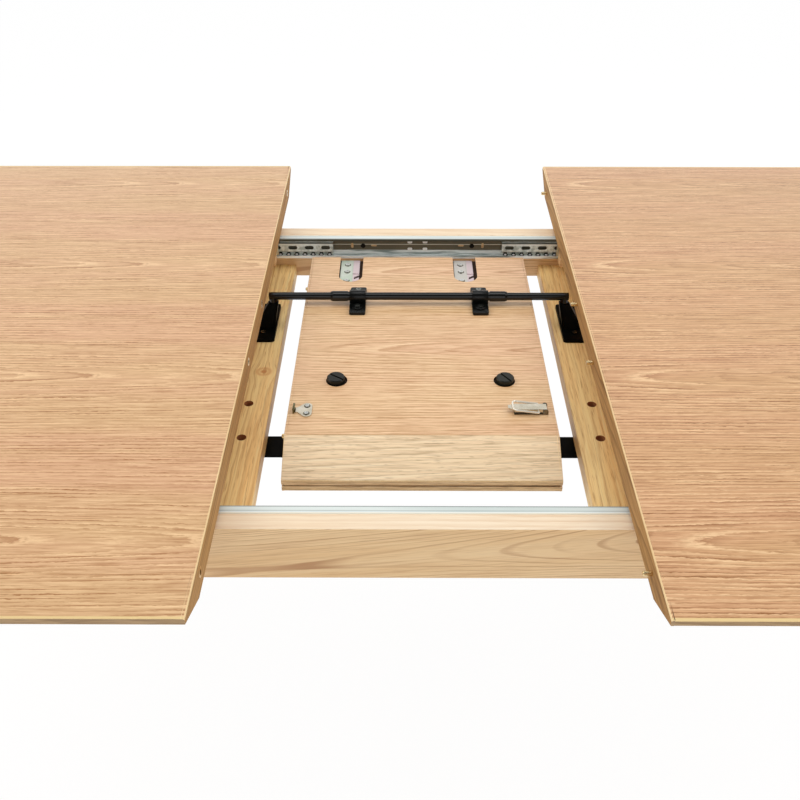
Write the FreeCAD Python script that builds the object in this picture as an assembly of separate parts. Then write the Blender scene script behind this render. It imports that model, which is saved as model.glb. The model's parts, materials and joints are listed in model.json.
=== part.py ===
"""Butterfly extension table: two sliding half tops over a frame that stows a folding leaf.

Millimetres. +Z is up, X is the way the table extends, and the origin lies on the floor
under the middle of the table. The model stands with its tops pulled apart and its leaf
folded away between them: half A lies underside up, and half B lies under it.
"""
import FreeCAD
import Part
import math
import os
from FreeCAD import Vector

# ---- tops ---------------------------------------------------------------------------
TABLE_HEIGHT = 750.0
TOP_LENGTH = 750.0        # one half top, along X
TOP_DEPTH = 900.0
TOP_THICK = 30.0
TOP_OPENING = 392.0       # between the half tops when they are pulled apart
BEVEL_RUN = 48.5          # underside bevel, measured inward
EDGE_BAND = 6.5           # upright band left above the bevel
LIPPING = 3.0             # hardwood strip on a mating end
ARRIS = 1.0               # small chamfer along the top of a mating end
PANEL_CLEARANCE = 6.0     # between the tops and the frame under them

# ---- alignment pins -----------------------------------------------------------------
PIN_RADIUS = 2.5
PIN_PROUD = 8.5
LEAF_PIN_PROUD = 5.0
PIN_DEPTH = 20.0
PIN_TAPER = 1.0
PIN_EDGE = 65.0           # outer pins from the front and back edges
PIN_INNER_Y = 63.5
PIN_DROP = 15.0           # below the top's surface
SOCKET_RADIUS = 5.0
SOCKET_DEPTH = 12.0
RUNNING_FIT = 0.05        # radial clearance of pins and pivots

# ---- frame --------------------------------------------------------------------------
FRAME_LENGTH = 1300.0
APRON_SPREAD = 578.0      # between the inner faces of the long aprons
APRON_THICK = 21.7
APRON_HEIGHT = 67.0
LEG_SIZE = 70.0
LEG_FOOT = 46.0
LEG_PROUD = 3.0           # leg face beyond the apron face
LEG_CHAMFER = 2.5
LEG_SQUARE_DROP = 12.0    # square part of the leg below the apron
FOOT_PAD_RADIUS = 11.0
FOOT_PAD_THICK = 4.0
RAIL_GAP = 356.0          # between the inner faces of the cross rails
RAIL_WIDTH = 65.0
RAIL_THICK = 19.0
RAIL_HOLE_RADIUS = 5.5
RAIL_HOLE_X = 204.0
RAIL_HOLE_YS = (-51.0, -115.0)
BLOCK_HEIGHT = 27.0       # corner blocks
BLOCK_THICK = 25.0
BLOCK_CLEARANCE = 3.0     # between a corner block and the leg's inner corner
BOLT_RADIUS = 4.0
BOLT_IN_LEG = 35.0
BOLT_TAIL = 12.0
NUT_WIDTH = 13.0
NUT_HEIGHT = 6.5

# ---- ball slides --------------------------------------------------------------------
CHANNEL_LENGTH = 900.0
CHANNEL_HEIGHT = 31.3
CHANNEL_DEPTH = 11.0
CHANNEL_LIP = 2.5
CHANNEL_DROP = 0.5        # below the top of the apron
STEEL = 1.2               # sheet thickness of the slides
RIB_DROP = 13.4           # rib's middle below the top of the channel
RIB_HEIGHT = 0.6
RIB_WIDTH = 1.8
BALL_RADIUS = 2.0
BALL_PITCH = 11.9
BALLS_PER_GROUP = 8
BALL_DEPTH = 6.0          # ball centre from the apron
CAGE_SHEET = 0.8
CAGE_WEB = 2.2            # cage web from the apron
CAGE_CROWN = 7.4          # its raised middle, inside the moving member
CAGE_STEP = 1.5           # run of the slope up to the raised middle
CAGE_LENGTH = 320.0
CAGE_OPEN_X = 122.0       # inner end of a cage when the tops are apart
CAGE_SLOT_INSET = 10.9    # first slot's middle from the end of a cage
CAGE_SLOT_PITCH = 23.8
CAGE_SLOT_LENGTH = 13.0
CAGE_SLOT_WIDTH = 5.8
MEMBER_LENGTH = 360.0
MEMBER_SETBACK = 5.0      # from the mating end of the top
MEMBER_FACE = 11.5        # face of the moving member from the apron
MEMBER_FLANGE = 7.9
CHANNEL_SCREW_XS = (78.8, 300.0, 430.0)
CHANNEL_UPRIGHT_X = 94.6   # upright slot
CHANNEL_LEVEL_X = 63.2     # level slot
CHANNEL_SLOT_LENGTH = 8.5
CHANNEL_SLOT_WIDTH = 3.8
LUG_X = 11.0               # four lugs around the middle of a channel
LUG_DROPS = (9.5, 20.6)
LUG_LENGTH = 7.0
LUG_WIDTH = 4.2
LUG_HEIGHT = 0.9
CLEAT_LENGTH = 366.0
CLEAT_SETBACK = 8.0
CLEAT_THICK = 19.0
CLEAT_HEIGHT = 41.0
CLEAT_SCREW_INSETS = (40.0, 183.0, 326.0)

# ---- folding leaf -------------------------------------------------------------------
LEAF_LENGTH = 300.0
STOW_DROP = 52.0          # stowed leaf's upper face below the table surface
ROD_Y = 126.0             # the leaf swings about this line, and its fold lands at Y = 0
FOLD_RAISE = 0.6          # fold axis above the leaf's top surface
FOLD_SETBACK = 0.15       # each half stops this short of the fold line
STRAP_WIDTH = 36.0
STRAP_THICK = 3.0
STRAP_Y = -94.0
STRAP_REST = 0.3
STRAP_FLAT = 182.0        # half length of the low, flat part
STRAP_RAMP = 12.0
STRAP_END = 236.0
STRAP_SCREW_X = 216.0

# ---- swing rod ----------------------------------------------------------------------
ROD_RADIUS = 5.0
ROD_END_X = 191.0         # axis of the rod's turned-down ends
ROD_SOCKET = 10.0
CLAMP_X = 80.0
CLAMP_WIDTH = 21.0
CLAMP_HUB_RADIUS = 8.0
CLAMP_ENDS = (-29.5, 35.0)       # near and far end from the rod
CLAMP_BASE = 4.0
CLAMP_BOSS_RADIUS = 7.0
CLAMP_BOSS_HEIGHT = 5.5
CLAMP_SCREW_YS = (-16.0, 25.5)   # from the rod
COLLAR_RADIUS = 6.8
COLLAR_LENGTH = 19.5
COLLAR_NECK = 2.0
COLLAR_TAPER = 3.0
BRACKET_INNER_X = 188.0
BRACKET_WIDTH = 31.0
BRACKET_LENGTH = 90.0
BRACKET_BASE = 4.0
BRACKET_TOP_DROP = 50.0   # top of the bracket's post below the table surface
BRACKET_POST_TOP = 13.0
BRACKET_POST_CUT = 3.2    # the post's cut corners
BRACKET_POST_FOOT_X = 26.0
BRACKET_POST_FOOT_Y = 34.0
BRACKET_SCREW_Y = 28.0

# ---- leaf hinges --------------------------------------------------------------------
HINGE_XS = (-93.0, 65.5)
RECESS_WIDTH = 32.0
RECESS_LENGTH = 69.0
RECESS_DEPTH = 6.0
HINGE_NOTCH = 6.0         # depth of the notch for the knuckles, from the fold edge
HINGE_NOTCH_WIDTH = 22.0
HINGE_SHEET = 2.5
HINGE_MARGIN = 1.0
KNUCKLE_RADIUS = 2.2
HINGE_PIN_RADIUS = 1.0
KNUCKLE_SPLIT = 3.5       # half length of the middle knuckle
KNUCKLE_GAP = 0.3
KNUCKLE_END = 10.0
HINGE_ARM = 3.0           # arm's near face from the fold line
HINGE_SIDE_GAP = 4.6       # open strip of the recess beside a plate
HINGE_SCREW_X = -5.5
HINGE_SCREW_YS = (16.0, 35.5, 60.0)
HINGE_HEAD_RADIUS = 3.1
HINGE_HEAD_HEIGHT = 1.5
HINGE_FLAP_X = 2.0
HINGE_FLAP_YS = (11.0, 42.0)
HINGE_FLAP_HEIGHT = 0.8
HINGE_HOOK = (45.0, 50.5)  # the slot above a plate's hook, from the fold edge
HINGE_HOOK_LENGTH = 7.0

# ---- levelling glides ---------------------------------------------------------------
GLIDE_X = 99.0
GLIDE_RADIUS = 10.3
GLIDE_BORE_RADIUS = 12.5
GLIDE_BORE_SHIFT = 0.8    # counterbore's centre, nearer the middle than the glide's
GLIDE_SINK = 3.0
GLIDE_GAP = 0.3
GLIDE_STEM_RADIUS = 4.0
GLIDE_STEM = 15.0
GLIDE_SLOT_WIDTH = 2.2
GLIDE_SLOT_DEPTH = 2.0
GLIDE_CHAMFER = 1.0
GLIDE_ANGLES = {"a_left": -35.0, "a_right": -55.0, "b_left": 20.0, "b_right": 70.0}

# ---- toggle latches and catches -----------------------------------------------------
LATCH_Y = 358.0           # from the middle of the table, when in use
LATCH_SHEET = 1.2
LATCH_BARREL = 11.0       # lever pivot from the mating edge
LATCH_LOOP_PIVOT = 19.0   # loop pivot from the mating edge
LATCH_LOOP_LENGTH = 28.5
LATCH_TIP = 53.0          # lever tip from the mating edge
LATCH_AXIS_HEIGHT = 3.8
LATCH_PIVOT_RADIUS = 1.0
LATCH_HALF_WIDTH = 5.4    # lever
LATCH_HEEL = 1.5          # lever's end beyond its pivot
LATCH_WINDOW = 6.0        # opening in the base that the lever's heel turns in
LATCH_EAR_GAP = 0.3
LATCH_EAR_RADIUS = 3.0
LATCH_WIRE_RADIUS = 1.2
LATCH_WIRE_OFFSET = 8.5
LATCH_WIRE_CORNER = 4.0
LATCH_LEVER_TOP = 6.4
LATCH_FLANGE = 3.2
LATCH_FLANGE_END = 46.0
LATCH_BASE_END = 46.0
LATCH_SCREW_XS = (30.0, 40.0)
CATCH_HOOK_IN = 6.0       # hook from the mating edge
CATCH_HOOK_THICK = 1.4
CATCH_HOOK_HEIGHT = 6.0
CATCH_HOOK_LIP = 1.0
CATCH_HOOK_WIDTH = 12.0
CATCH_NECK_WIDTH = 8.0
CATCH_NECK_LENGTH = 5.0
CATCH_PLATE_X = 21.5
CATCH_PLATE_RADIUS = 5.8
CATCH_SCREW_Y = 6.7

# ---- screws -------------------------------------------------------------------------
SCREW_RADIUS = 1.75
SCREW_HEAD_RADIUS = 3.4
SCREW_HEAD_HEIGHT = 1.8
SMALL_SCREW_RADIUS = 1.2
SMALL_HEAD_RADIUS = 2.2
SMALL_HEAD_HEIGHT = 1.1
FLAT_HEAD_HEIGHT = 0.8
SCREW_LENGTH = 14.0
CLEAT_SCREW_LENGTH = 56.0
CLEAT_COUNTERBORE = 4.0

# ---- places worked out from the sizes -----------------------------------------------
X, Y, Z = Vector(1, 0, 0), Vector(0, 1, 0), Vector(0, 0, 1)
ORIGIN = Vector(0, 0, 0)
UNDERSIDE = TABLE_HEIGHT - TOP_THICK
FRAME_TOP = UNDERSIDE - PANEL_CLEARANCE
FRAME_LOW = FRAME_TOP - APRON_HEIGHT
RAIL_TOP = FRAME_LOW + RAIL_THICK
APRON_FACE = APRON_SPREAD / 2
APRON_OUTER = APRON_FACE + APRON_THICK
TOP_EDGE = TOP_DEPTH / 2
MATE_X = TOP_OPENING / 2
TOP_END_X = MATE_X + TOP_LENGTH
LEG_OUTER_X = FRAME_LENGTH / 2
LEG_INNER_X = LEG_OUTER_X - LEG_SIZE
LEG_OUTER_Y = APRON_OUTER + LEG_PROUD
LEG_INNER_Y = LEG_OUTER_Y - LEG_SIZE
RAIL_FACE = RAIL_GAP / 2
CHANNEL_TOP = FRAME_TOP - CHANNEL_DROP
BALL_DROP = STEEL + RUNNING_FIT + BALL_RADIUS
MEMBER_DROP = BALL_DROP + BALL_RADIUS + RUNNING_FIT
LEAF_HALF = LEAF_LENGTH / 2
STOWED_TOP = TABLE_HEIGHT - STOW_DROP
ROD_Z = TABLE_HEIGHT - (STOW_DROP + TOP_THICK) / 2
FOLD_Y = 2 * ROD_Y
FOLD_Z = STOWED_TOP - TOP_THICK - FOLD_RAISE
LEAF_NEAR_Y = FOLD_Y - TOP_EDGE
STACK_LOW = 2 * FOLD_Z - STOWED_TOP
PIN_YS = (PIN_INNER_Y, TOP_EDGE - PIN_EDGE)
STOWED_PIN_Z = 2 * ROD_Z - (TABLE_HEIGHT - PIN_DROP)


# ---- shape helpers ------------------------------------------------------------------
def block(x0, x1, y0, y1, z0, z1):
    """A box between two corners, given in any order."""
    low = Vector(min(x0, x1), min(y0, y1), min(z0, z1))
    return Part.makeBox(abs(x1 - x0), abs(y1 - y0), abs(z1 - z0), low)


def bar(radius, start, length, along):
    """A round bar from a point, along a direction."""
    return Part.makeCylinder(radius, length, start, along)


def prism(points, run):
    """A closed outline pushed along a vector."""
    outline = [Vector(*point) for point in points]
    return Part.Face(Part.makePolygon(outline + outline[:1])).extrude(run)


def joined(shapes):
    """Overlapping shapes made one solid."""
    return shapes[0].fuse(shapes[1:]).removeSplitter()


def cut_all(shape, tools):
    """A shape with every tool cut away."""
    return shape.cut(tools) if tools else shape


def mirrored_x(shape):
    """The same shape on the other side of the middle plane X = 0."""
    return shape.mirror(ORIGIN, X)


def mirrored_y(shape):
    """The same shape on the other side of the middle plane Y = 0."""
    return shape.mirror(ORIGIN, Y)


def folded_under(shape):
    """A piece of half A taken to its place on half B, across the fold."""
    return shape.mirror(Vector(0, FOLD_Y, FOLD_Z), Z)


def placed(shape, at, upside_down=False):
    """A shape drawn on a surface at the origin, set on the surface at a point."""
    shape = shape.copy()
    if upside_down:
        shape.rotate(ORIGIN, X, 180)
    shape.translate(at)
    return shape


def obround(centre_x, centre_z, length, width, y0, y1):
    """A slot with round ends that runs along X and is cut through along Y."""
    half = (length - width) / 2
    pieces = [block(centre_x - half, centre_x + half, y0, y1,
                    centre_z - width / 2, centre_z + width / 2)]
    for end in (-half, half):
        pieces.append(bar(width / 2, Vector(centre_x + end, min(y0, y1), centre_z),
                          abs(y1 - y0), Y))
    return joined(pieces)


def screw(at, into, shank=SCREW_RADIUS, head=SCREW_HEAD_RADIUS, height=SCREW_HEAD_HEIGHT,
          length=SCREW_LENGTH):
    """A domed screw: the head's underside is at a point, and the shank runs into the work."""
    out = into * -1
    body = bar(head, at, height, out).fuse(bar(shank, at, length, into))
    rim = height * 0.45
    body = body.cut(bar(head, at + out * height, 1, out))
    cross = Vector(abs(into.y) + abs(into.z), abs(into.x), 0)
    other = into.cross(cross)
    tools = []
    for arm in (cross, other):
        depth = rim + 0.5
        width = head * 0.28
        reach = head * 0.62
        side = into.cross(arm)
        corner = at + out * (height - rim) - arm * reach - side * (width / 2)
        outline = [corner, corner + arm * (2 * reach), corner + arm * (2 * reach) + side * width,
                   corner + side * width]
        tools.append(Part.Face(Part.makePolygon(outline + outline[:1])).extrude(out * depth))
    return body.cut(tools)


def pilot(at, into, shank=SCREW_RADIUS, length=SCREW_LENGTH):
    """The hole that a screw's shank fills."""
    return bar(shank, at, length, into)


def save(name, shapes):
    """Write one node: a solid, or a group of separate solids."""
    if not isinstance(shapes, list):
        shapes = [shapes]
    solids = [solid for shape in shapes for solid in shape.Solids]
    whole = solids[0] if len(solids) == 1 else Part.makeCompound(solids)
    whole.exportStep("parts/" + name + ".step")
    print(f"{name}: {len(solids)} solid(s), {whole.Volume / 1000:.1f} cm3")


# ---- alignment pins and their sockets -----------------------------------------------
def alignment_pin(edge, out, y, z, proud=PIN_PROUD):
    """A brass pin let into an edge at X = edge, proud of it on the side out (-1 or 1)."""
    shank = PIN_DEPTH + proud - PIN_TAPER
    start = Vector(edge - out * PIN_DEPTH, y, z)
    tip = Part.makeCone(PIN_RADIUS, PIN_RADIUS - PIN_TAPER, PIN_TAPER,
                        start + X * (out * shank), X * out)
    return joined([bar(PIN_RADIUS, start, shank, X * out), tip])


def pin_bore(edge, out, y, z):
    """The hole that an alignment pin fills."""
    return bar(PIN_RADIUS, Vector(edge - out * PIN_DEPTH, y, z), PIN_DEPTH, X * out)


def socket(edge, out, y, z):
    """A brass ferrule let in flush with an edge, with a running fit for a pin."""
    start = Vector(edge - out * SOCKET_DEPTH, y, z)
    tube = bar(SOCKET_RADIUS, start, SOCKET_DEPTH, X * out)
    return tube.cut(bar(PIN_RADIUS + RUNNING_FIT, start, SOCKET_DEPTH, X * out))


def socket_bore(edge, out, y, z):
    """The hole that a ferrule fills."""
    return bar(SOCKET_RADIUS, Vector(edge - out * SOCKET_DEPTH, y, z), SOCKET_DEPTH, X * out)


# ---- latch and catch, drawn on a surface at Z = 0 with the mating edge at X = 0 ------
def latch_base():
    """Base plate of a toggle latch, with two ears that hold the lever's pivot."""
    wide = LATCH_HALF_WIDTH + LATCH_EAR_GAP + LATCH_SHEET
    gap = LATCH_HALF_WIDTH + LATCH_EAR_GAP
    near, far = -LATCH_BARREL + LATCH_EAR_RADIUS, -LATCH_BARREL - LATCH_EAR_RADIUS
    pieces = [block(-LATCH_BASE_END, far, -wide, wide, 0, LATCH_SHEET)]
    for side in (-1, 1):
        inner, outer = side * gap, side * wide
        pieces.append(block(far, near, inner, outer, 0, LATCH_AXIS_HEIGHT))
        pieces.append(bar(LATCH_EAR_RADIUS,
                          Vector(-LATCH_BARREL, min(inner, outer), LATCH_AXIS_HEIGHT),
                          LATCH_SHEET, Y))
    window = block(far - LATCH_WINDOW, far, -gap, gap, 0, LATCH_SHEET)
    pin = bar(LATCH_PIVOT_RADIUS, Vector(-LATCH_BARREL, -wide, LATCH_AXIS_HEIGHT), 2 * wide, Y)
    return joined([joined(pieces).cut(window), pin])


def latch_lever():
    """Lever of a toggle latch: a plate with turned-down sides and a narrow tongue."""
    low = LATCH_LEVER_TOP - LATCH_SHEET
    back = -LATCH_BARREL + LATCH_HEEL
    shoulder = -LATCH_FLANGE_END
    tongue = LATCH_HALF_WIDTH * 0.5
    outline = [(back, -LATCH_HALF_WIDTH, low), (back, LATCH_HALF_WIDTH, low),
               (shoulder, LATCH_HALF_WIDTH, low), (-LATCH_TIP, tongue, low),
               (-LATCH_TIP, -tongue, low), (shoulder, -LATCH_HALF_WIDTH, low)]
    pieces = [prism(outline, Z * LATCH_SHEET)]
    for side in (-1, 1):
        pieces.append(block(back, shoulder, side * (LATCH_HALF_WIDTH - LATCH_SHEET),
                            side * LATCH_HALF_WIDTH, low - LATCH_FLANGE, low))
    bores = [bar(pivot + RUNNING_FIT, Vector(x, -LATCH_HALF_WIDTH, LATCH_AXIS_HEIGHT),
                 2 * LATCH_HALF_WIDTH, Y)
             for x, pivot in ((-LATCH_BARREL, LATCH_PIVOT_RADIUS),
                              (-LATCH_LOOP_PIVOT, LATCH_WIRE_RADIUS))]
    return cut_all(joined(pieces), bores)


def latch_loop():
    """Wire loop of a toggle latch, folded back along the lever and over its tongue."""
    wire, corner, side = LATCH_WIRE_RADIUS, LATCH_WIRE_CORNER, LATCH_WIRE_OFFSET
    rise = LATCH_LEVER_TOP + LATCH_EAR_GAP + wire - LATCH_AXIS_HEIGHT
    reach = math.hypot(rise, LATCH_LOOP_LENGTH)
    stub = LATCH_HALF_WIDTH - LATCH_SHEET
    bend = corner * (1 - math.sqrt(0.5))
    pieces = [bar(wire, Vector(-reach, -side + corner, 0), 2 * (side - corner), Y)]
    for way in (-1, 1):
        pieces.append(bar(wire, Vector(0, way * stub, 0), side - stub, Y * way))
        pieces.append(Part.makeSphere(wire, Vector(0, way * side, 0)))
        pieces.append(bar(wire, Vector(-reach + corner, way * side, 0), reach - corner, X))
        turn = Part.Arc(Vector(-reach + corner, way * side, 0),
                        Vector(-reach + bend, way * (side - bend), 0),
                        Vector(-reach, way * (side - corner), 0)).toShape()
        ring = Part.Circle(Vector(-reach + corner, way * side, 0), X, wire).toShape()
        pieces.append(Part.Wire([turn]).makePipeShell([Part.Wire([ring])], True, False))
    loop = joined(pieces)
    loop.rotate(ORIGIN, Y, math.degrees(math.atan2(rise, LATCH_LOOP_LENGTH)))
    loop.translate(Vector(-LATCH_LOOP_PIVOT, 0, LATCH_AXIS_HEIGHT))
    return loop


def catch_plate():
    """Catch of a toggle latch: a screwed plate with a turned-up hook, mating edge at X = 0."""
    hook, neck = CATCH_HOOK_WIDTH / 2, CATCH_NECK_WIDTH / 2
    root, top = CATCH_HOOK_IN, CATCH_HOOK_HEIGHT
    slant = CATCH_PLATE_RADIUS * math.sqrt(0.5)
    bend = CATCH_PLATE_X - slant
    wide = CATCH_SCREW_Y + slant
    end = CATCH_PLATE_X + CATCH_PLATE_RADIUS
    outline = [(root, -neck, 0), (root + CATCH_NECK_LENGTH, -neck, 0), (bend, -wide, 0),
               (end, -CATCH_SCREW_Y, 0), (end, CATCH_SCREW_Y, 0), (bend, wide, 0),
               (root + CATCH_NECK_LENGTH, neck, 0), (root, neck, 0)]
    pieces = [
        prism(outline, Z * LATCH_SHEET),
        block(root, root + CATCH_HOOK_THICK, -hook, hook, 0, top),
        block(root, root + CATCH_HOOK_THICK + CATCH_HOOK_LIP, -hook, hook,
              top - CATCH_HOOK_THICK, top),
    ]
    holes = []
    for side in (-1, 1):
        at = Vector(CATCH_PLATE_X, side * CATCH_SCREW_Y, 0)
        pieces.append(bar(CATCH_PLATE_RADIUS, at, LATCH_SHEET, Z))
        holes.append(bar(SMALL_SCREW_RADIUS, at, LATCH_SHEET, Z))
    return cut_all(joined(pieces), holes)


def small_screws(points):
    """Small screws whose heads sit on a plate of the latch's thickness at Z = 0."""
    return [screw(Vector(x, y, LATCH_SHEET), Z * -1, SMALL_SCREW_RADIUS, SMALL_HEAD_RADIUS,
                  SMALL_HEAD_HEIGHT) for x, y in points]


LATCH_SCREWS = [(-x, 0) for x in LATCH_SCREW_XS]
CATCH_SCREWS = [(CATCH_PLATE_X, side * CATCH_SCREW_Y) for side in (-1, 1)]


# ---- half tops ----------------------------------------------------------------------
def bevelled_blank(x0, x1, y0, y1, low, high):
    """A board whose long edges at y0 and y1 are bevelled underneath, along X."""
    band = high - EDGE_BAND
    outline = [(x0, y0, high), (x0, y1, high), (x0, y1, band), (x0, y1 - BEVEL_RUN, low),
               (x0, y0 + BEVEL_RUN, low), (x0, y0, band)]
    return prism(outline, X * (x1 - x0))


def half_top(edge_tools):
    """The right half top: veneered panel, bevelled solid edges and the end lipping."""
    blank = bevelled_blank(MATE_X, TOP_END_X, -TOP_EDGE, TOP_EDGE, UNDERSIDE, TABLE_HEIGHT)
    end_bevel = [(TOP_END_X, -TOP_EDGE, TABLE_HEIGHT - EDGE_BAND), (TOP_END_X, -TOP_EDGE, UNDERSIDE),
                 (TOP_END_X - BEVEL_RUN, -TOP_EDGE, UNDERSIDE)]
    arris = [(MATE_X, -TOP_EDGE, TABLE_HEIGHT), (MATE_X + ARRIS, -TOP_EDGE, TABLE_HEIGHT),
             (MATE_X, -TOP_EDGE, TABLE_HEIGHT - ARRIS)]
    blank = blank.cut([prism(end_bevel, Y * TOP_DEPTH), prism(arris, Y * TOP_DEPTH)])
    inner = MATE_X + LIPPING
    outer = TOP_END_X - BEVEL_RUN
    strip = TOP_EDGE - BEVEL_RUN
    cells = {
        "panel": block(inner, outer, -strip, strip, UNDERSIDE, TABLE_HEIGHT),
        "lipping": block(MATE_X, inner, -TOP_EDGE, TOP_EDGE, UNDERSIDE, TABLE_HEIGHT),
        "front": block(inner, TOP_END_X, -TOP_EDGE, -strip, UNDERSIDE, TABLE_HEIGHT),
        "back": block(inner, TOP_END_X, strip, TOP_EDGE, UNDERSIDE, TABLE_HEIGHT),
        "end": block(outer, TOP_END_X, -strip, strip, UNDERSIDE, TABLE_HEIGHT),
    }
    return {name: cut_all(blank.common(cell), edge_tools) for name, cell in cells.items()}


def cleat_screw_points():
    """Where the cleat screws enter a cleat from below, for the right half, both sides."""
    centre = APRON_FACE - MEMBER_FACE - CLEAT_THICK / 2
    low = UNDERSIDE - CLEAT_HEIGHT + CLEAT_COUNTERBORE
    return [Vector(MATE_X + CLEAT_SETBACK + inset, side * centre, low)
            for inset in CLEAT_SCREW_INSETS for side in (-1, 1)]


def cleats():
    """The two wooden cleats under the right half top, bored for their screws."""
    x0 = MATE_X + CLEAT_SETBACK
    outer = APRON_FACE - MEMBER_FACE
    made = []
    for side in (-1, 1):
        cleat = block(x0, x0 + CLEAT_LENGTH, side * (outer - CLEAT_THICK), side * outer,
                      UNDERSIDE - CLEAT_HEIGHT, UNDERSIDE)
        tools = []
        for at in cleat_screw_points():
            tools.append(bar(SCREW_HEAD_RADIUS + GLIDE_GAP, at, CLEAT_COUNTERBORE, Z * -1))
            tools.append(pilot(at, Z, length=CLEAT_SCREW_LENGTH))
        tools += [pilot(at, into, length=SCREW_LENGTH) for at, into in member_screw_points()]
        made.append(cut_all(cleat, tools))
    return made


def slide_outline(side, points):
    """Slide section points, given as (distance from the apron, drop), set at X = 0."""
    return [(0, side * (APRON_FACE - depth), CHANNEL_TOP - drop) for depth, drop in points]


def channel(side):
    """The fixed channel of the slide on one apron, open towards the table's middle."""
    top, lip, deep = STEEL, STEEL + CHANNEL_LIP, CHANNEL_DEPTH
    bottom, low_lip = CHANNEL_HEIGHT - top, CHANNEL_HEIGHT - lip
    middle = CHANNEL_TOP - CHANNEL_HEIGHT / 2
    rib = RIB_WIDTH / 2
    section = [(0, 0), (deep, 0), (deep, lip), (deep - STEEL, lip), (deep - STEEL, top),
               (STEEL, top), (STEEL, RIB_DROP - rib),
               (STEEL + RIB_HEIGHT, RIB_DROP - rib + RIB_HEIGHT),
               (STEEL + RIB_HEIGHT, RIB_DROP + rib - RIB_HEIGHT), (STEEL, RIB_DROP + rib),
               (STEEL, bottom), (deep - STEEL, bottom), (deep - STEEL, low_lip), (deep, low_lip),
               (deep, CHANNEL_HEIGHT), (0, CHANNEL_HEIGHT)]
    shape = prism(slide_outline(side, section), X * CHANNEL_LENGTH)
    shape.translate(X * (-CHANNEL_LENGTH / 2))
    y0, y1 = side * (APRON_FACE - STEEL * 2), side * APRON_FACE
    web = side * (APRON_FACE - STEEL)
    pieces, tools = [shape], []
    for end in (-1, 1):
        for drop in LUG_DROPS:
            pieces.append(obround(end * LUG_X, CHANNEL_TOP - drop, LUG_LENGTH, LUG_WIDTH,
                                  side * APRON_FACE, web - side * LUG_HEIGHT))
        tools.append(obround(end * CHANNEL_LEVEL_X, middle, CHANNEL_SLOT_LENGTH,
                             CHANNEL_SLOT_WIDTH, y0, y1))
        upright = obround(end * CHANNEL_UPRIGHT_X, middle, CHANNEL_SLOT_LENGTH,
                          CHANNEL_SLOT_WIDTH, y0, y1)
        upright.rotate(Vector(end * CHANNEL_UPRIGHT_X, 0, middle), Y, 90)
        tools.append(upright)
    for at, into in channel_screw_points(side):
        tools.append(pilot(at, into))
        tools.append(bar(SCREW_HEAD_RADIUS + RUNNING_FIT, at, STEEL, into * -1))
    return cut_all(joined(pieces), tools)


def channel_screw_points(side):
    """Screws that hold a channel to its apron: (point on the web, direction)."""
    at_y = side * (APRON_FACE - STEEL)
    return [(Vector(end * x, at_y, CHANNEL_TOP - CHANNEL_HEIGHT / 2), Y * side)
            for x in CHANNEL_SCREW_XS for end in (-1, 1)]


def moving_member(side):
    """The member of one slide that carries the right half top."""
    face, back = MEMBER_FACE, MEMBER_FACE - MEMBER_FLANGE
    high, low = MEMBER_DROP, CHANNEL_HEIGHT - MEMBER_DROP
    section = [(face, high), (face, low), (back, low), (back, low - STEEL),
               (face - STEEL, low - STEEL), (face - STEEL, high + STEEL), (back, high + STEEL),
               (back, high)]
    shape = prism(slide_outline(side, section), X * MEMBER_LENGTH)
    shape.translate(X * (MATE_X + MEMBER_SETBACK))
    return cut_all(shape, [pilot(at, into, length=SCREW_LENGTH)
                           for at, into in member_screw_points()])


def member_screw_points():
    """Screws that hold the moving members to their cleats: (point on the web, direction)."""
    at_y = APRON_FACE - MEMBER_FACE + STEEL
    x0 = MATE_X + MEMBER_SETBACK
    return [(Vector(x0 + part * MEMBER_LENGTH, side * at_y, CHANNEL_TOP - CHANNEL_HEIGHT / 2),
             Y * -side) for part in (0.1, 0.45, 0.9) for side in (-1, 1)]


def ball_places(side):
    """Centres of the balls in the right-hand cage of one slide."""
    first = CAGE_OPEN_X + BALL_PITCH / 2
    last = CAGE_OPEN_X + CAGE_LENGTH - BALL_PITCH / 2
    xs = [first + n * BALL_PITCH for n in range(BALLS_PER_GROUP)]
    xs += [last - n * BALL_PITCH for n in range(BALLS_PER_GROUP)]
    return [Vector(x, side * (APRON_FACE - BALL_DEPTH), CHANNEL_TOP - drop)
            for x in xs for drop in (BALL_DROP, CHANNEL_HEIGHT - BALL_DROP)]


def ball_cage(side):
    """The cage that spaces the balls of one slide, on the right-hand half."""
    web, sheet = CAGE_WEB, CAGE_SHEET
    lip = CHANNEL_DEPTH - STEEL - sheet
    high = BALL_DROP - sheet / 2
    crown = CAGE_CROWN
    rise = MEMBER_DROP + STEEL + sheet
    upper = [(web, high), (lip, high), (lip, high + sheet), (web + sheet, high + sheet),
             (web + sheet, rise), (crown + sheet, rise + CAGE_STEP)]
    inner = [(crown, rise + CAGE_STEP + sheet), (web, rise + sheet)]
    lower = [(depth, CHANNEL_HEIGHT - drop) for depth, drop in reversed(upper)]
    inner_low = [(depth, CHANNEL_HEIGHT - drop) for depth, drop in reversed(inner)]
    shape = prism(slide_outline(side, upper + lower + inner_low + inner), X * CAGE_LENGTH)
    shape.translate(X * CAGE_OPEN_X)
    tools = [bar(BALL_RADIUS + RUNNING_FIT * 2, at - Z * sheet, 2 * sheet, Z)
             for at in ball_places(side)]
    count = int((CAGE_LENGTH - 2 * CAGE_SLOT_INSET) // CAGE_SLOT_PITCH) + 1
    y0, y1 = side * (APRON_FACE - lip), side * APRON_FACE
    for n in range(count):
        tools.append(obround(CAGE_OPEN_X + CAGE_SLOT_INSET + n * CAGE_SLOT_PITCH,
                             CHANNEL_TOP - CHANNEL_HEIGHT / 2, CAGE_SLOT_LENGTH, CAGE_SLOT_WIDTH,
                             y0, y1))
    return cut_all(shape, tools)


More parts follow.
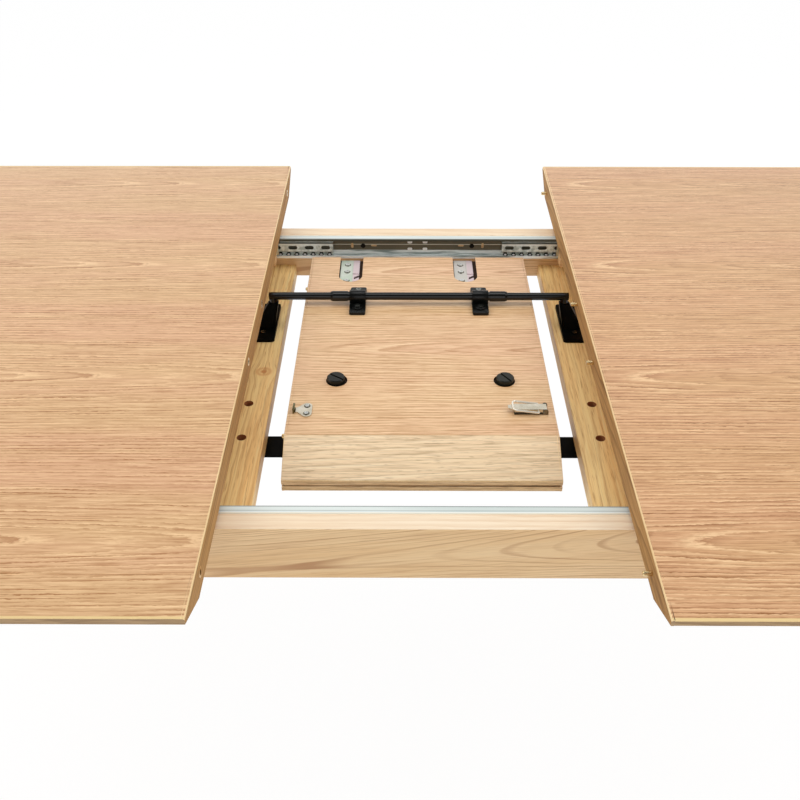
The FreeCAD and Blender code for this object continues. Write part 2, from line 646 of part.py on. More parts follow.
def make_tops():
    """Both half tops with what moves with them."""
    mate_z = TABLE_HEIGHT - PIN_DROP
    pin_ys = [side * y for y in PIN_YS for side in (-1, 1)]
    screws = [screw(at, Z, length=CLEAT_SCREW_LENGTH) for at in cleat_screw_points()]
    screws += [screw(at, into, height=FLAT_HEAD_HEIGHT) for at, into in member_screw_points()]
    pilots = [pilot(at, Z, length=CLEAT_SCREW_LENGTH) for at in cleat_screw_points()]
    members = [moving_member(side) for side in (-1, 1)]
    catch_at = Vector(MATE_X, LATCH_Y, UNDERSIDE)
    latch_at = Vector(-MATE_X, LATCH_Y, UNDERSIDE)
    catch_pilots = [placed(hole, catch_at, True) for hole in surface_pilots(CATCH_SCREWS)]
    latch_pilots = [placed(hole, latch_at, True) for hole in surface_pilots(LATCH_SCREWS)]

    pins = [alignment_pin(MATE_X, -1, y, mate_z) for y in pin_ys]
    bores = [pin_bore(MATE_X, -1, y, mate_z) for y in pin_ys]
    right = half_top(bores + pilots + catch_pilots)
    save("right_top_panel", right["panel"])
    save("right_top_edges", [right[name] for name in ("lipping", "front", "back", "end")])
    save("right_top_pins", pins)
    save("right_cleats", cleats())
    save("right_slide_members", members)
    save("right_top_screws", screws + [placed(one, catch_at, True)
                                       for one in small_screws(CATCH_SCREWS)])
    save("top_catch", placed(catch_plate(), catch_at, True))

    ferrules = [socket(-MATE_X, 1, y, mate_z) for y in pin_ys]
    bores = [mirrored_x(socket_bore(-MATE_X, 1, y, mate_z)) for y in pin_ys]
    left = half_top(bores + pilots + [mirrored_x(hole) for hole in latch_pilots])
    save("left_top_panel", mirrored_x(left["panel"]))
    save("left_top_edges", [mirrored_x(left[name])
                            for name in ("lipping", "front", "back", "end")])
    save("left_top_sockets", ferrules)
    save("left_cleats", [mirrored_x(shape) for shape in cleats()])
    save("left_slide_members", [mirrored_x(shape) for shape in members])
    save("left_top_screws", [mirrored_x(shape) for shape in screws]
         + [placed(one, latch_at, True) for one in small_screws(LATCH_SCREWS)])
    save("top_latch_base", latch_base_on(latch_at, True))
    save("top_latch_lever", placed(latch_lever(), latch_at, True))
    save("top_latch_loop", placed(latch_loop(), latch_at, True))

    cages = [ball_cage(side) for side in (-1, 1)]
    balls = [Part.makeSphere(BALL_RADIUS, at) for side in (-1, 1) for at in ball_places(side)]
    save("right_ball_cages", cages)
    save("right_slide_balls", balls)
    save("left_ball_cages", [mirrored_x(shape) for shape in cages])
    save("left_slide_balls", [mirrored_x(shape) for shape in balls])


def surface_pilots(points):
    """Holes under a surface at Z = 0 for small screws at these points."""
    depth = SCREW_LENGTH - LATCH_SHEET
    return [pilot(Vector(x, y, 0), Z * -1, SMALL_SCREW_RADIUS, depth) for x, y in points]


def latch_base_on(at, upside_down=False):
    """A latch base with its screw holes, set on a surface."""
    holes = [pilot(Vector(x, y, LATCH_SHEET), Z * -1, SMALL_SCREW_RADIUS, LATCH_SHEET)
             for x, y in LATCH_SCREWS]
    return placed(cut_all(latch_base(), holes), at, upside_down)


# ---- frame --------------------------------------------------------------------------
def leg_section(x_in, y_in, z):
    """A leg's outline at one height, from its outer corner to an inner corner."""
    cut = LEG_CHAMFER
    x0, x1, y0, y1 = x_in, LEG_OUTER_X, y_in, LEG_OUTER_Y
    points = [(x0 + cut, y0), (x1 - cut, y0), (x1, y0 + cut), (x1, y1 - cut),
              (x1 - cut, y1), (x0 + cut, y1), (x0, y1 - cut), (x0, y0 + cut)]
    outline = [Vector(x, y, z) for x, y in points]
    return Part.makePolygon(outline + outline[:1])


def leg_bolt_line():
    """Where the leg bolt at the back right crosses the leg's corner, and its direction."""
    height = FRAME_LOW + BLOCK_HEIGHT / 2
    return Vector(LEG_INNER_X, LEG_INNER_Y, height), Vector(1, 1, 0).normalize()


def make_legs():
    """Four legs with their bolts, corner blocks and foot pads."""
    shoulder = FRAME_LOW - LEG_SQUARE_DROP
    square = Part.Face(leg_section(LEG_INNER_X, LEG_INNER_Y, shoulder))
    square = square.extrude(Z * (FRAME_TOP - shoulder))
    foot = leg_section(LEG_OUTER_X - LEG_FOOT, LEG_OUTER_Y - LEG_FOOT, FOOT_PAD_THICK)
    taper = Part.makeLoft([foot, leg_section(LEG_INNER_X, LEG_INNER_Y, shoulder)], True, True)
    corner, out = leg_bolt_line()
    inner = corner - out * (BLOCK_CLEARANCE + BLOCK_THICK + BOLT_TAIL)
    bolt_length = BLOCK_CLEARANCE + BLOCK_THICK + BOLT_TAIL + BOLT_IN_LEG
    bolt = bar(BOLT_RADIUS, inner, bolt_length, out)
    leg = joined([square, taper]).cut(bolt)

    along = Vector(1, -1, 0).normalize()
    middle = corner - out * (BLOCK_CLEARANCE + BLOCK_THICK / 2)
    reach = LEG_SIZE * 2
    half = BLOCK_THICK / 2
    base = Vector(middle.x, middle.y, FRAME_LOW)
    outline = [base + along * reach + out * half, base - along * reach + out * half,
               base - along * reach - out * half, base + along * reach - out * half]
    corner_block = Part.Face(Part.makePolygon(outline + outline[:1])).extrude(Z * BLOCK_HEIGHT)
    end_face = LEG_OUTER_X - LEG_PROUD - APRON_THICK
    corner_block = corner_block.common(block(0, end_face, 0, APRON_FACE, FRAME_LOW, FRAME_TOP))
    corner_block = corner_block.cut(bolt)

    nut_at = corner - out * (BLOCK_CLEARANCE + BLOCK_THICK + NUT_HEIGHT)
    sides = 6
    side_vector = Z.cross(out)
    ring = []
    for n in range(sides):
        turn = 2 * math.pi * n / sides
        radius = NUT_WIDTH / math.sqrt(3)
        ring.append(nut_at + side_vector * (radius * math.cos(turn)) + Z * (radius * math.sin(turn)))
    nut = Part.Face(Part.makePolygon(ring + ring[:1])).extrude(out * NUT_HEIGHT).cut(bolt)

    pad = bar(FOOT_PAD_RADIUS, Vector(LEG_OUTER_X - LEG_FOOT / 2, LEG_OUTER_Y - LEG_FOOT / 2, 0),
              FOOT_PAD_THICK, Z)
    blocks, bolts, pads = [], [], []
    for depth_name, flip_y in (("back", False), ("front", True)):
        for side_name, flip_x in (("right", False), ("left", True)):
            def move(shape):
                """A piece of the back right corner, taken to this corner."""
                shape = mirrored_y(shape) if flip_y else shape
                return mirrored_x(shape) if flip_x else shape
            save("leg_" + depth_name + "_" + side_name, move(leg))
            blocks.append(move(corner_block))
            bolts += [move(bolt), move(nut)]
            pads.append(move(pad))
    save("corner_blocks", blocks)
    save("leg_bolts", bolts)
    save("foot_pads", pads)


def strap_screw_points():
    """Screws that hold the support strap up to the cross rails: (point, direction)."""
    return [(Vector(side * STRAP_SCREW_X, STRAP_Y, FRAME_LOW - STRAP_THICK), Z)
            for side in (-1, 1)]


def bracket_screw_points():
    """Screws that hold the rod brackets to the cross rails: (point, direction)."""
    x = BRACKET_INNER_X + BRACKET_WIDTH / 2
    return [(Vector(side * x, ROD_Y + way * BRACKET_SCREW_Y, RAIL_TOP + BRACKET_BASE), Z * -1)
            for side in (-1, 1) for way in (-1, 1)]


def make_frame():
    """Aprons, rails, slide channels and the strap that the folded leaf rests on."""
    for name, side in (("front", -1), ("back", 1)):
        apron = block(-LEG_INNER_X, LEG_INNER_X, side * APRON_FACE, side * APRON_OUTER,
                      FRAME_LOW, FRAME_TOP)
        pilots = [pilot(at, into) for at, into in channel_screw_points(side)]
        save("apron_" + name, cut_all(apron, pilots))
        save("slide_channel_" + name, channel(side))
    screws = [screw(at, into, height=FLAT_HEAD_HEIGHT)
              for side in (-1, 1) for at, into in channel_screw_points(side)]
    save("channel_screws", screws)

    outer = LEG_OUTER_X - LEG_PROUD
    save("end_rails", [block(side * (outer - APRON_THICK), side * outer, -LEG_INNER_Y, LEG_INNER_Y,
                             FRAME_LOW, FRAME_TOP) for side in (-1, 1)])

    rail_screws = [screw(at, into) for at, into in strap_screw_points()]
    rail_screws += [screw(at, into) for at, into in bracket_screw_points()]
    tools = [pilot(at, into) for at, into in strap_screw_points() + bracket_screw_points()]
    tools += [bar(RAIL_HOLE_RADIUS, Vector(side * RAIL_HOLE_X, y, FRAME_LOW), RAIL_THICK, Z)
              for side in (-1, 1) for y in RAIL_HOLE_YS]
    rails = [block(side * RAIL_FACE, side * (RAIL_FACE + RAIL_WIDTH), -APRON_FACE, APRON_FACE,
                   FRAME_LOW, RAIL_TOP) for side in (-1, 1)]
    save("cross_rails", [cut_all(rail, tools) for rail in rails])
    save("rail_screws", rail_screws)

    low = STACK_LOW - STRAP_REST
    ramp_end = STRAP_FLAT + STRAP_RAMP
    front = STRAP_Y - STRAP_WIDTH / 2
    upper = [(-STRAP_END, FRAME_LOW), (-ramp_end, FRAME_LOW), (-STRAP_FLAT, low),
             (STRAP_FLAT, low), (ramp_end, FRAME_LOW), (STRAP_END, FRAME_LOW)]
    lower = [(x, z - STRAP_THICK) for x, z in reversed(upper)]
    strap = prism([(x, front, z) for x, z in upper + lower], Y * STRAP_WIDTH)
    save("support_strap", cut_all(strap, [pilot(at, into) for at, into in strap_screw_points()]))


# ---- swing rod ----------------------------------------------------------------------
def make_rod():
    """The fixed rod with turned-down ends, its brackets and its collars."""
    half = ROD_END_X + ROD_RADIUS
    post_top = TABLE_HEIGHT - BRACKET_TOP_DROP
    foot = post_top - ROD_SOCKET
    middle = bar(ROD_RADIUS, Vector(-half, ROD_Y, ROD_Z), 2 * half, X)
    ends = [bar(ROD_RADIUS, Vector(side * ROD_END_X, ROD_Y, foot), ROD_Z - foot, Z)
            for side in (-1, 1)]
    save("swing_rod", joined([middle] + ends))

    brackets = []
    base_low, base_high = RAIL_TOP, RAIL_TOP + BRACKET_BASE
    for side in (-1, 1):
        x0, x1 = side * BRACKET_INNER_X, side * (BRACKET_INNER_X + BRACKET_WIDTH)
        base = block(x0, x1, ROD_Y - BRACKET_LENGTH / 2, ROD_Y + BRACKET_LENGTH / 2,
                     base_low, base_high)
        upright = [edge for edge in base.Edges if abs(edge.tangentAt(edge.FirstParameter).z) > 0.9]
        base = base.makeFillet(BRACKET_BASE, upright)
        foot_x0 = side * (BRACKET_INNER_X + 2)
        foot_x1 = side * (BRACKET_INNER_X + 2 + BRACKET_POST_FOOT_X)
        top_half = BRACKET_POST_TOP / 2
        foot_half = BRACKET_POST_FOOT_Y / 2
        top_x = side * ROD_END_X
        cut = BRACKET_POST_CUT
        rings = []
        for xs, half_y, z in (((foot_x0, foot_x1), foot_half, base_high),
                              ((top_x - side * top_half, top_x + side * top_half), top_half,
                               post_top)):
            x_in, x_out = xs[0] + side * cut, xs[1] - side * cut
            y_in = half_y - cut
            corners = [(x_in, -half_y), (x_out, -half_y), (xs[1], -y_in), (xs[1], y_in),
                       (x_out, half_y), (x_in, half_y), (xs[0], y_in), (xs[0], -y_in)]
            corners = [Vector(x, ROD_Y + y, z) for x, y in corners]
            rings.append(Part.makePolygon(corners + corners[:1]))
        post = Part.makeLoft(rings, True, True)
        hole = bar(ROD_RADIUS, Vector(top_x, ROD_Y, foot), ROD_SOCKET, Z)
        screws = [pilot(at, into) for at, into in bracket_screw_points()]
        brackets.append(cut_all(joined([base, post]), [hole] + screws))
    save("rod_brackets", brackets)

    collars = []
    for side in (-1, 1):
        start = CLAMP_X + CLAMP_WIDTH / 2 + GLIDE_GAP
        neck = ROD_RADIUS + (COLLAR_RADIUS - ROD_RADIUS) / 2
        body_at = start + COLLAR_NECK
        pieces = [bar(neck, Vector(side * start, ROD_Y, ROD_Z), COLLAR_NECK, X * side),
                  bar(COLLAR_RADIUS, Vector(side * body_at, ROD_Y, ROD_Z), COLLAR_LENGTH, X * side),
                  Part.makeCone(COLLAR_RADIUS, neck, COLLAR_TAPER,
                                Vector(side * (body_at + COLLAR_LENGTH), ROD_Y, ROD_Z), X * side)]
        collars.append(joined(pieces).cut(middle))
    save("rod_collars", collars)


# ---- leaf ---------------------------------------------------------------------------
def stowed_y(y):
    """Where a line of the leaf in use, y behind the fold, lies when half A is stowed."""
    return FOLD_Y - y


def hinge_recess(x):
    """The pocket for a hinge plate in half A, with the notch for its knuckles."""
    half = RECESS_WIDTH / 2
    floor = STOWED_TOP - RECESS_DEPTH
    inner = FOLD_Y - RECESS_LENGTH + half
    return joined([block(x - half, x + half, inner, FOLD_Y, floor, STOWED_TOP),
                   bar(half, Vector(x, inner, floor), RECESS_DEPTH, Z),
                   block(x - HINGE_NOTCH_WIDTH / 2, x + HINGE_NOTCH_WIDTH / 2,
                         FOLD_Y - HINGE_NOTCH, FOLD_Y, STOWED_TOP - TOP_THICK, STOWED_TOP)])


def hinge_screw_points(x):
    """Screws in a hinge plate of half A: points on top of the plate."""
    z = STOWED_TOP - RECESS_DEPTH + HINGE_SHEET
    return [Vector(x + HINGE_SCREW_X, FOLD_Y - y, z) for y in HINGE_SCREW_YS]


def hinge_plate(x, spans, bore):
    """A plate in the recess of half A, with arms down to knuckles on the fold axis."""
    half = RECESS_WIDTH / 2 - HINGE_MARGIN
    low = STOWED_TOP - RECESS_DEPTH
    high = low + HINGE_SHEET
    inner = FOLD_Y - RECESS_LENGTH + RECESS_WIDTH / 2
    arm_far = FOLD_Y - HINGE_ARM
    arm_near = arm_far - HINGE_SHEET
    right = x + RECESS_WIDTH / 2 - HINGE_SIDE_GAP
    plate = joined([block(x - half, x + half, inner, arm_far, low, high),
                    bar(half, Vector(x, inner, low), HINGE_SHEET, Z)])
    hook_far, hook_near = (FOLD_Y - y for y in HINGE_HOOK)
    tip = right - HINGE_HOOK_LENGTH
    slot = prism([(right, hook_far, low), (tip, hook_near, low),
                  (tip, 2 * hook_near - hook_far, low), (right, hook_near, low)], Z * HINGE_SHEET)
    beside = block(right, x + RECESS_WIDTH, FOLD_Y - RECESS_LENGTH, FOLD_Y, low, high)
    pieces = [cut_all(plate, [beside, slot]),
              block(x + HINGE_FLAP_X, right, FOLD_Y - HINGE_FLAP_YS[0],
                    FOLD_Y - HINGE_FLAP_YS[1], high, high + HINGE_FLAP_HEIGHT)]
    for x0, x1 in spans:
        pieces.append(block(x + x0, x + x1, arm_near, arm_far, FOLD_Z - HINGE_PIN_RADIUS, high))
        pieces.append(block(x + x0, x + x1, arm_near, FOLD_Y, FOLD_Z - HINGE_PIN_RADIUS,
                            FOLD_Z + HINGE_PIN_RADIUS))
        pieces.append(bar(KNUCKLE_RADIUS, Vector(x + x0, FOLD_Y, FOLD_Z), x1 - x0, X))
    tools = [bar(bore, Vector(x - RECESS_WIDTH, FOLD_Y, FOLD_Z), 2 * RECESS_WIDTH, X)]
    tools += [pilot(at, Z * -1, SMALL_SCREW_RADIUS) for at in hinge_screw_points(x)]
    return cut_all(joined(pieces), tools)


def leaf_half(extra_tools):
    """Half A of the leaf, stowed underside up: the panel and its solid edges."""
    blank = bevelled_blank(-LEAF_HALF, LEAF_HALF, LEAF_NEAR_Y, FOLD_Y + TOP_EDGE,
                           STOWED_TOP - TOP_THICK, STOWED_TOP)
    blank = blank.mirror(Vector(0, 0, STOWED_TOP - TOP_THICK / 2), Z)
    low = STOWED_TOP - TOP_THICK
    tools = list(extra_tools)
    for side in (-1, 1):
        edge = side * LEAF_HALF
        outline = [(edge, LEAF_NEAR_Y, low), (edge - side * ARRIS, LEAF_NEAR_Y, low),
                   (edge, LEAF_NEAR_Y, low + ARRIS)]
        tools.append(prism(outline, Y * TOP_DEPTH))
    for y in PIN_YS:
        tools.append(pin_bore(-LEAF_HALF, -1, stowed_y(y), STOWED_PIN_Z))
        tools.append(socket_bore(LEAF_HALF, 1, stowed_y(y), STOWED_PIN_Z))
    for x in HINGE_XS:
        tools.append(hinge_recess(x))
        tools += [pilot(at, Z * -1, SMALL_SCREW_RADIUS) for at in hinge_screw_points(x)]
    for side in (-1, 1):
        at = glide_at(side)
        bore_at = at - X * (side * GLIDE_BORE_SHIFT)
        tools.append(bar(GLIDE_BORE_RADIUS, bore_at - Z * (GLIDE_SINK + GLIDE_GAP),
                         GLIDE_SINK + GLIDE_GAP, Z))
        tools.append(bar(GLIDE_STEM_RADIUS + RUNNING_FIT,
                         at - Z * (GLIDE_SINK + GLIDE_STEM + GLIDE_GAP),
                         GLIDE_STEM + GLIDE_GAP, Z))
    far = FOLD_Y - FOLD_SETBACK
    strip = LEAF_NEAR_Y + BEVEL_RUN
    inner = LEAF_HALF - LIPPING
    cells = {
        "panel": block(-inner, inner, strip, far, low, STOWED_TOP),
        "edge": block(-inner, inner, LEAF_NEAR_Y, strip, low, STOWED_TOP),
        "left": block(-LEAF_HALF, -inner, LEAF_NEAR_Y, far, low, STOWED_TOP),
        "right": block(inner, LEAF_HALF, LEAF_NEAR_Y, far, low, STOWED_TOP),
    }
    return {name: cut_all(blank.common(cell), tools) for name, cell in cells.items()}


def glide_at(side):
    """Where a glide's axis meets the upper face of stowed half A: over the apron in use."""
    return Vector(side * GLIDE_X, stowed_y(APRON_FACE + APRON_THICK / 2), STOWED_TOP)


def glide(side, angle):
    """A slotted levelling glide in half A, which stands on the apron when in use."""
    at = glide_at(side)
    high = PANEL_CLEARANCE - GLIDE_GAP
    disc = bar(GLIDE_RADIUS, at - Z * GLIDE_SINK, GLIDE_SINK + high - GLIDE_CHAMFER, Z)
    crown = Part.makeCone(GLIDE_RADIUS, GLIDE_RADIUS - GLIDE_CHAMFER, GLIDE_CHAMFER,
                          at + Z * (high - GLIDE_CHAMFER), Z)
    stem = bar(GLIDE_STEM_RADIUS, at - Z * (GLIDE_SINK + GLIDE_STEM), GLIDE_STEM, Z)
    slot = block(at.x - 2 * GLIDE_RADIUS, at.x + 2 * GLIDE_RADIUS,
                 at.y - GLIDE_SLOT_WIDTH / 2, at.y + GLIDE_SLOT_WIDTH / 2,
                 at.z + high - GLIDE_SLOT_DEPTH, at.z + high + 1)
    slot.rotate(at, Z, angle)
    return joined([disc, crown, stem]).cut(slot)


def clamp_screw_points():
    """Screws of the two rod clamps: points on top of their bosses."""
    return [Vector(side * CLAMP_X, ROD_Y + y, STOWED_TOP + CLAMP_BOSS_HEIGHT)
            for side in (-1, 1) for y in CLAMP_SCREW_YS]


def rod_clamp(side):
    """A saddle clamp that turns on the rod and is screwed to half A's underside."""
    x0 = side * CLAMP_X - CLAMP_WIDTH / 2
    x1 = x0 + CLAMP_WIDTH
    base = block(x0, x1, ROD_Y + CLAMP_ENDS[0], ROD_Y + CLAMP_ENDS[1],
                 STOWED_TOP, STOWED_TOP + CLAMP_BASE)
    upright = [edge for edge in base.Edges if abs(edge.tangentAt(edge.FirstParameter).z) > 0.9]
    pieces = [base.makeFillet(LATCH_EAR_RADIUS, upright),
              bar(CLAMP_HUB_RADIUS, Vector(x0, ROD_Y, ROD_Z), CLAMP_WIDTH, X),
              block(x0, x1, ROD_Y - CLAMP_HUB_RADIUS, ROD_Y + CLAMP_HUB_RADIUS, STOWED_TOP, ROD_Z)]
    for y in CLAMP_SCREW_YS:
        centre = Vector(side * CLAMP_X, ROD_Y + y, STOWED_TOP)
        pieces.append(bar(CLAMP_BOSS_RADIUS, centre, CLAMP_BOSS_HEIGHT, Z))
    tools = [bar(ROD_RADIUS + RUNNING_FIT, Vector(x0, ROD_Y, ROD_Z), CLAMP_WIDTH, X)]
    tools += [pilot(at, Z * -1) for at in clamp_screw_points()]
    return cut_all(joined(pieces), tools)


def make_leaf():
    """Both halves of the leaf with their hinges, pins, glides, clamps and latches."""
    latch_at = Vector(LEAF_HALF, stowed_y(LATCH_Y), STOWED_TOP)
    catch_at = Vector(-LEAF_HALF, stowed_y(LATCH_Y), STOWED_TOP)
    outer_spans = [(-KNUCKLE_END, -KNUCKLE_SPLIT - KNUCKLE_GAP),
                   (KNUCKLE_SPLIT + KNUCKLE_GAP, KNUCKLE_END)]
    middle_span = [(-KNUCKLE_SPLIT, KNUCKLE_SPLIT)]
    fittings = []
    for y in PIN_YS:
        fittings.append(alignment_pin(-LEAF_HALF, -1, stowed_y(y), STOWED_PIN_Z, LEAF_PIN_PROUD))
        fittings.append(socket(LEAF_HALF, 1, stowed_y(y), STOWED_PIN_Z))
    hinge_screws = [screw(at, Z * -1, SMALL_SCREW_RADIUS, HINGE_HEAD_RADIUS, HINGE_HEAD_HEIGHT)
                    for x in HINGE_XS for at in hinge_screw_points(x)]

    tools = [pilot(at, Z * -1) for at in clamp_screw_points()]
    tools += [placed(hole, latch_at) for hole in surface_pilots(LATCH_SCREWS)]
    tools += [placed(hole, catch_at) for hole in surface_pilots(CATCH_SCREWS)]
    half_a = leaf_half(tools)
    save("leaf_a_panel", half_a["panel"])
    save("leaf_a_edges", [half_a[name] for name in ("edge", "left", "right")])
    save("leaf_a_pins_and_sockets", fittings)
    save("leaf_a_hinge_plates", [hinge_plate(x, outer_spans, HINGE_PIN_RADIUS) for x in HINGE_XS])
    save("leaf_hinge_pins", [bar(HINGE_PIN_RADIUS, Vector(x - KNUCKLE_END, FOLD_Y, FOLD_Z),
                                 2 * KNUCKLE_END, X) for x in HINGE_XS])
    save("leaf_a_screws", hinge_screws
         + [placed(one, latch_at) for one in small_screws(LATCH_SCREWS)]
         + [placed(one, catch_at) for one in small_screws(CATCH_SCREWS)])
    save("rod_clamps", [rod_clamp(side) for side in (-1, 1)])
    save("rod_clamp_screws", [screw(at, Z * -1) for at in clamp_screw_points()])
    save("leaf_latch_base", latch_base_on(latch_at))
    save("leaf_latch_lever", placed(latch_lever(), latch_at))
    save("leaf_latch_loop", placed(latch_loop(), latch_at))
    save("leaf_catch", placed(catch_plate(), catch_at))

    half_b = leaf_half([])
    save("leaf_b_panel", folded_under(half_b["panel"]))
    save("leaf_b_edges", [folded_under(half_b[name]) for name in ("edge", "left", "right")])
    save("leaf_b_pins_and_sockets", [folded_under(shape) for shape in fittings])
    save("leaf_b_hinge_plates",
         [folded_under(hinge_plate(x, middle_span, HINGE_PIN_RADIUS + RUNNING_FIT))
          for x in HINGE_XS])
    save("leaf_b_screws", [folded_under(shape) for shape in hinge_screws])

    for side_name, side in (("left", -1), ("right", 1)):
        save("glide_a_" + side_name, glide(side, GLIDE_ANGLES["a_" + side_name]))
        save("glide_b_" + side_name, folded_under(glide(side, GLIDE_ANGLES["b_" + side_name])))


os.makedirs("parts", exist_ok=True)
make_tops()
make_legs()
make_frame()
make_rod()
make_leaf()
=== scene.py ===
# %% [markdown]
# # Dressing a butterfly extension table
# The table stands pulled apart, with its spare leaf folded away between the two half tops.
# Its boards, slides and screws could all be modelled here once more. The solid model already
# has each of them where it belongs, so it is loaded, and these cells only give the boards
# their softened edges and their oak, and the metal its zinc, nickel, brass and black.

import json
import math
from types import SimpleNamespace

import bmesh
import bpy
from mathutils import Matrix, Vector

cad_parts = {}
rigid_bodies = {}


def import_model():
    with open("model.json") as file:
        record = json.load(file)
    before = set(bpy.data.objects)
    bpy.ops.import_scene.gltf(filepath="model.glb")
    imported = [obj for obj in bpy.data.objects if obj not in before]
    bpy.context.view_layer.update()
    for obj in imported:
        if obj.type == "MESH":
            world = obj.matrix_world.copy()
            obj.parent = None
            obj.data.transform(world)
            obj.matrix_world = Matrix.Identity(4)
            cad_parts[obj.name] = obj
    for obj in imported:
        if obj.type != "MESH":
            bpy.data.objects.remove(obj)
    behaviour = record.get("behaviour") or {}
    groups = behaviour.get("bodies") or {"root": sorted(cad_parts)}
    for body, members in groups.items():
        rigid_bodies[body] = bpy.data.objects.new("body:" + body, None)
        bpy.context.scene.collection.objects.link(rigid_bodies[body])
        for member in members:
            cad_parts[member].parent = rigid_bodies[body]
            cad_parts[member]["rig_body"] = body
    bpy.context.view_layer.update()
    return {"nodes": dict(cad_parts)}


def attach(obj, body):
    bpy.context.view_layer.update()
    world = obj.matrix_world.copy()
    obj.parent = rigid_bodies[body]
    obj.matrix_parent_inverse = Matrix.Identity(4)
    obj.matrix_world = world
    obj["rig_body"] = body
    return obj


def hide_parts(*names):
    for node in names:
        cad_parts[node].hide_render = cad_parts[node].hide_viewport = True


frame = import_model()
nodes = frame["nodes"]

# %% [markdown]
# ## Camera
# A person who stands in front of the table looks down between the half tops at the stowed
# leaf. The camera could be aimed by a Track To constraint at an empty. Its place and its two
# angles are written out instead, so that nothing else in the scene can turn it by accident. A
# lens of 43 mm on a 36 mm sensor is nearly a normal one, so the boards keep their proportions.

# %% Place the camera
CAMERA_AT = (-0.0205, -0.9604, 1.3543)
LOOK_DOWN = 36.89
LOOK_LEFT = 0.22
SENSOR_WIDTH = 36.0
LENS = 43.136
NEAREST = 0.05
FARTHEST = 60.0
camera_data = bpy.data.cameras.new("table_camera")
camera_data.sensor_width = SENSOR_WIDTH
camera_data.lens = LENS
camera_data.clip_start = NEAREST
camera_data.clip_end = FARTHEST
camera = bpy.data.objects.new("table_camera", camera_data)
camera.location = CAMERA_AT
camera.rotation_euler = (math.radians(90 - LOOK_DOWN), 0, math.radians(LOOK_LEFT))
bpy.context.scene.collection.objects.link(camera)
bpy.context.scene.camera = camera
bpy.context.scene.view_settings.view_transform = "Standard"
print("camera at", CAMERA_AT, "looks down by", LOOK_DOWN, "degrees")

# %% [markdown]
# ## Nodes, written as code
# The finish of a real board or plate is many small effects, one on top of the other. In
# Blender each effect is a node, and the graph of them could be drawn by hand in the shader
# editor. Written as code it needs a few helpers first, but then one graph serves every board
# with other numbers. `put` adds a node and fills its inputs: a socket is wired in, and
# anything else is written on the input itself. `calc` is the same for a step of arithmetic.


# %% Nodes, sums and mixed colours
def put(tree, kind, inputs=None, **settings):
    """Adds a node, wires or fills its inputs, and returns it."""
    node = tree.nodes.new("ShaderNode" + kind)
    for name, value in settings.items():
        setattr(node, name, value)
    for key, value in (inputs or {}).items():
        if isinstance(value, bpy.types.NodeSocket):
            tree.links.new(value, node.inputs[key])
        else:
            node.inputs[key].default_value = value
    return node


def calc(tree, operation, *values):
    """One step of arithmetic on sockets or numbers."""
    return put(tree, "Math", dict(enumerate(values)), operation=operation).outputs[0]


def reach_of(tree, one, other):
    """How far a point is from a middle, from how far it is along two axes."""
    return calc(tree, "SQRT", calc(tree, "ADD", calc(tree, "MULTIPLY", one, one),
                                   calc(tree, "MULTIPLY", other, other)))


def mixed(tree, share, first, second):
    """Two colours mixed by a share: 0 is all of the first, 1 all of the second."""
    return put(tree, "Mix", {0: share, 6: first, 7: second}, data_type="RGBA").outputs[2]


print("node helpers ready")

# %% [markdown]
# ## Colours
# A finish is easiest to describe as it looks on a screen, as red, green and blue from 0 to
# 255. A shader counts light instead, where half as much light is half the number. Each colour
# could be worked out beforehand and written as long decimals. A function that does it keeps
# the colours readable, and they can be compared with a paint chart.


# %% Colours as a shader takes them
SCREEN_TOP = 255
SCREEN_TOE = 0.04045


def colour(red, green, blue):
    """A colour written as on a screen, 0 to 255, as the linear values that a shader takes."""
    def linear(part):
        part = part / SCREEN_TOP
        return part / 12.92 if part <= SCREEN_TOE else ((part + 0.055) / 1.055) ** 2.4
    return (linear(red), linear(green), linear(blue), 1.0)


def tones(*parts):
    """Several colours, each written as (red, green, blue)."""
    return tuple(colour(*part) for part in parts)


def grey(level):
    """A neutral colour of so much light."""
    return (level, level, level, 1.0)


print("the middle of the screen scale is", round(colour(128, 128, 128)[0], 3), "of the light")

# %% [markdown]
# ## Noise and masks
# A real surface is never one tone: it has patches, lines and spots. A picture of wood could be
# laid over the boards, but it repeats, and it blurs from close by. Noise that is worked out at
# each point has no seam and no last detail. So each pattern here starts as noise, is stretched
# along the grain, and becomes a mask from 0 to 1 that says how much of a tone shows.


# %% Noise and masks
def noise(tree, place, scale, detail=2.0, rough=0.5):
    """Smooth noise, 0 to 1, at a place that may have been stretched beforehand."""
    return put(tree, "TexNoise", {"Vector": place, "Scale": scale, "Detail": detail,
                                  "Roughness": rough}).outputs[0]


def stretched(tree, axes, along, across, through):
    """A place stretched by so much along the grain, across it and through the board."""
    parts = [calc(tree, "MULTIPLY", axis, by)
             for axis, by in zip(axes, (along, across, through))]
    return put(tree, "CombineXYZ", dict(enumerate(parts))).outputs[0]


def grain_noise(tree, axes, repeats, detail=2.0, rough=0.5):
    """Noise with so many repeats a metre along the grain, across it and through the board."""
    return noise(tree, stretched(tree, axes, *repeats), 1.0, detail, rough)


def stretch_mask(tree, value, low, high, bottom=0.0, top=1.0):
    """Maps a value from low..high to bottom..top, and clips it there. low may be above high."""
    return put(tree, "MapRange", {0: value, 1: low, 2: high, 3: bottom, 4: top}).outputs[0]


def level_ramp(tree, value, *stops):
    """A mask that goes straight from each (position, level) stop to the next."""
    node = put(tree, "ValToRGB", {0: value})
    bar = node.color_ramp
    for element, (position, level) in zip(bar.elements, (stops[0], stops[-1])):
        element.position = position
        element.color = grey(level)
    for position, level in stops[1:-1]:
        bar.elements.new(position).color = grey(level)
    return node.outputs[0]


print("noise and masks ready")

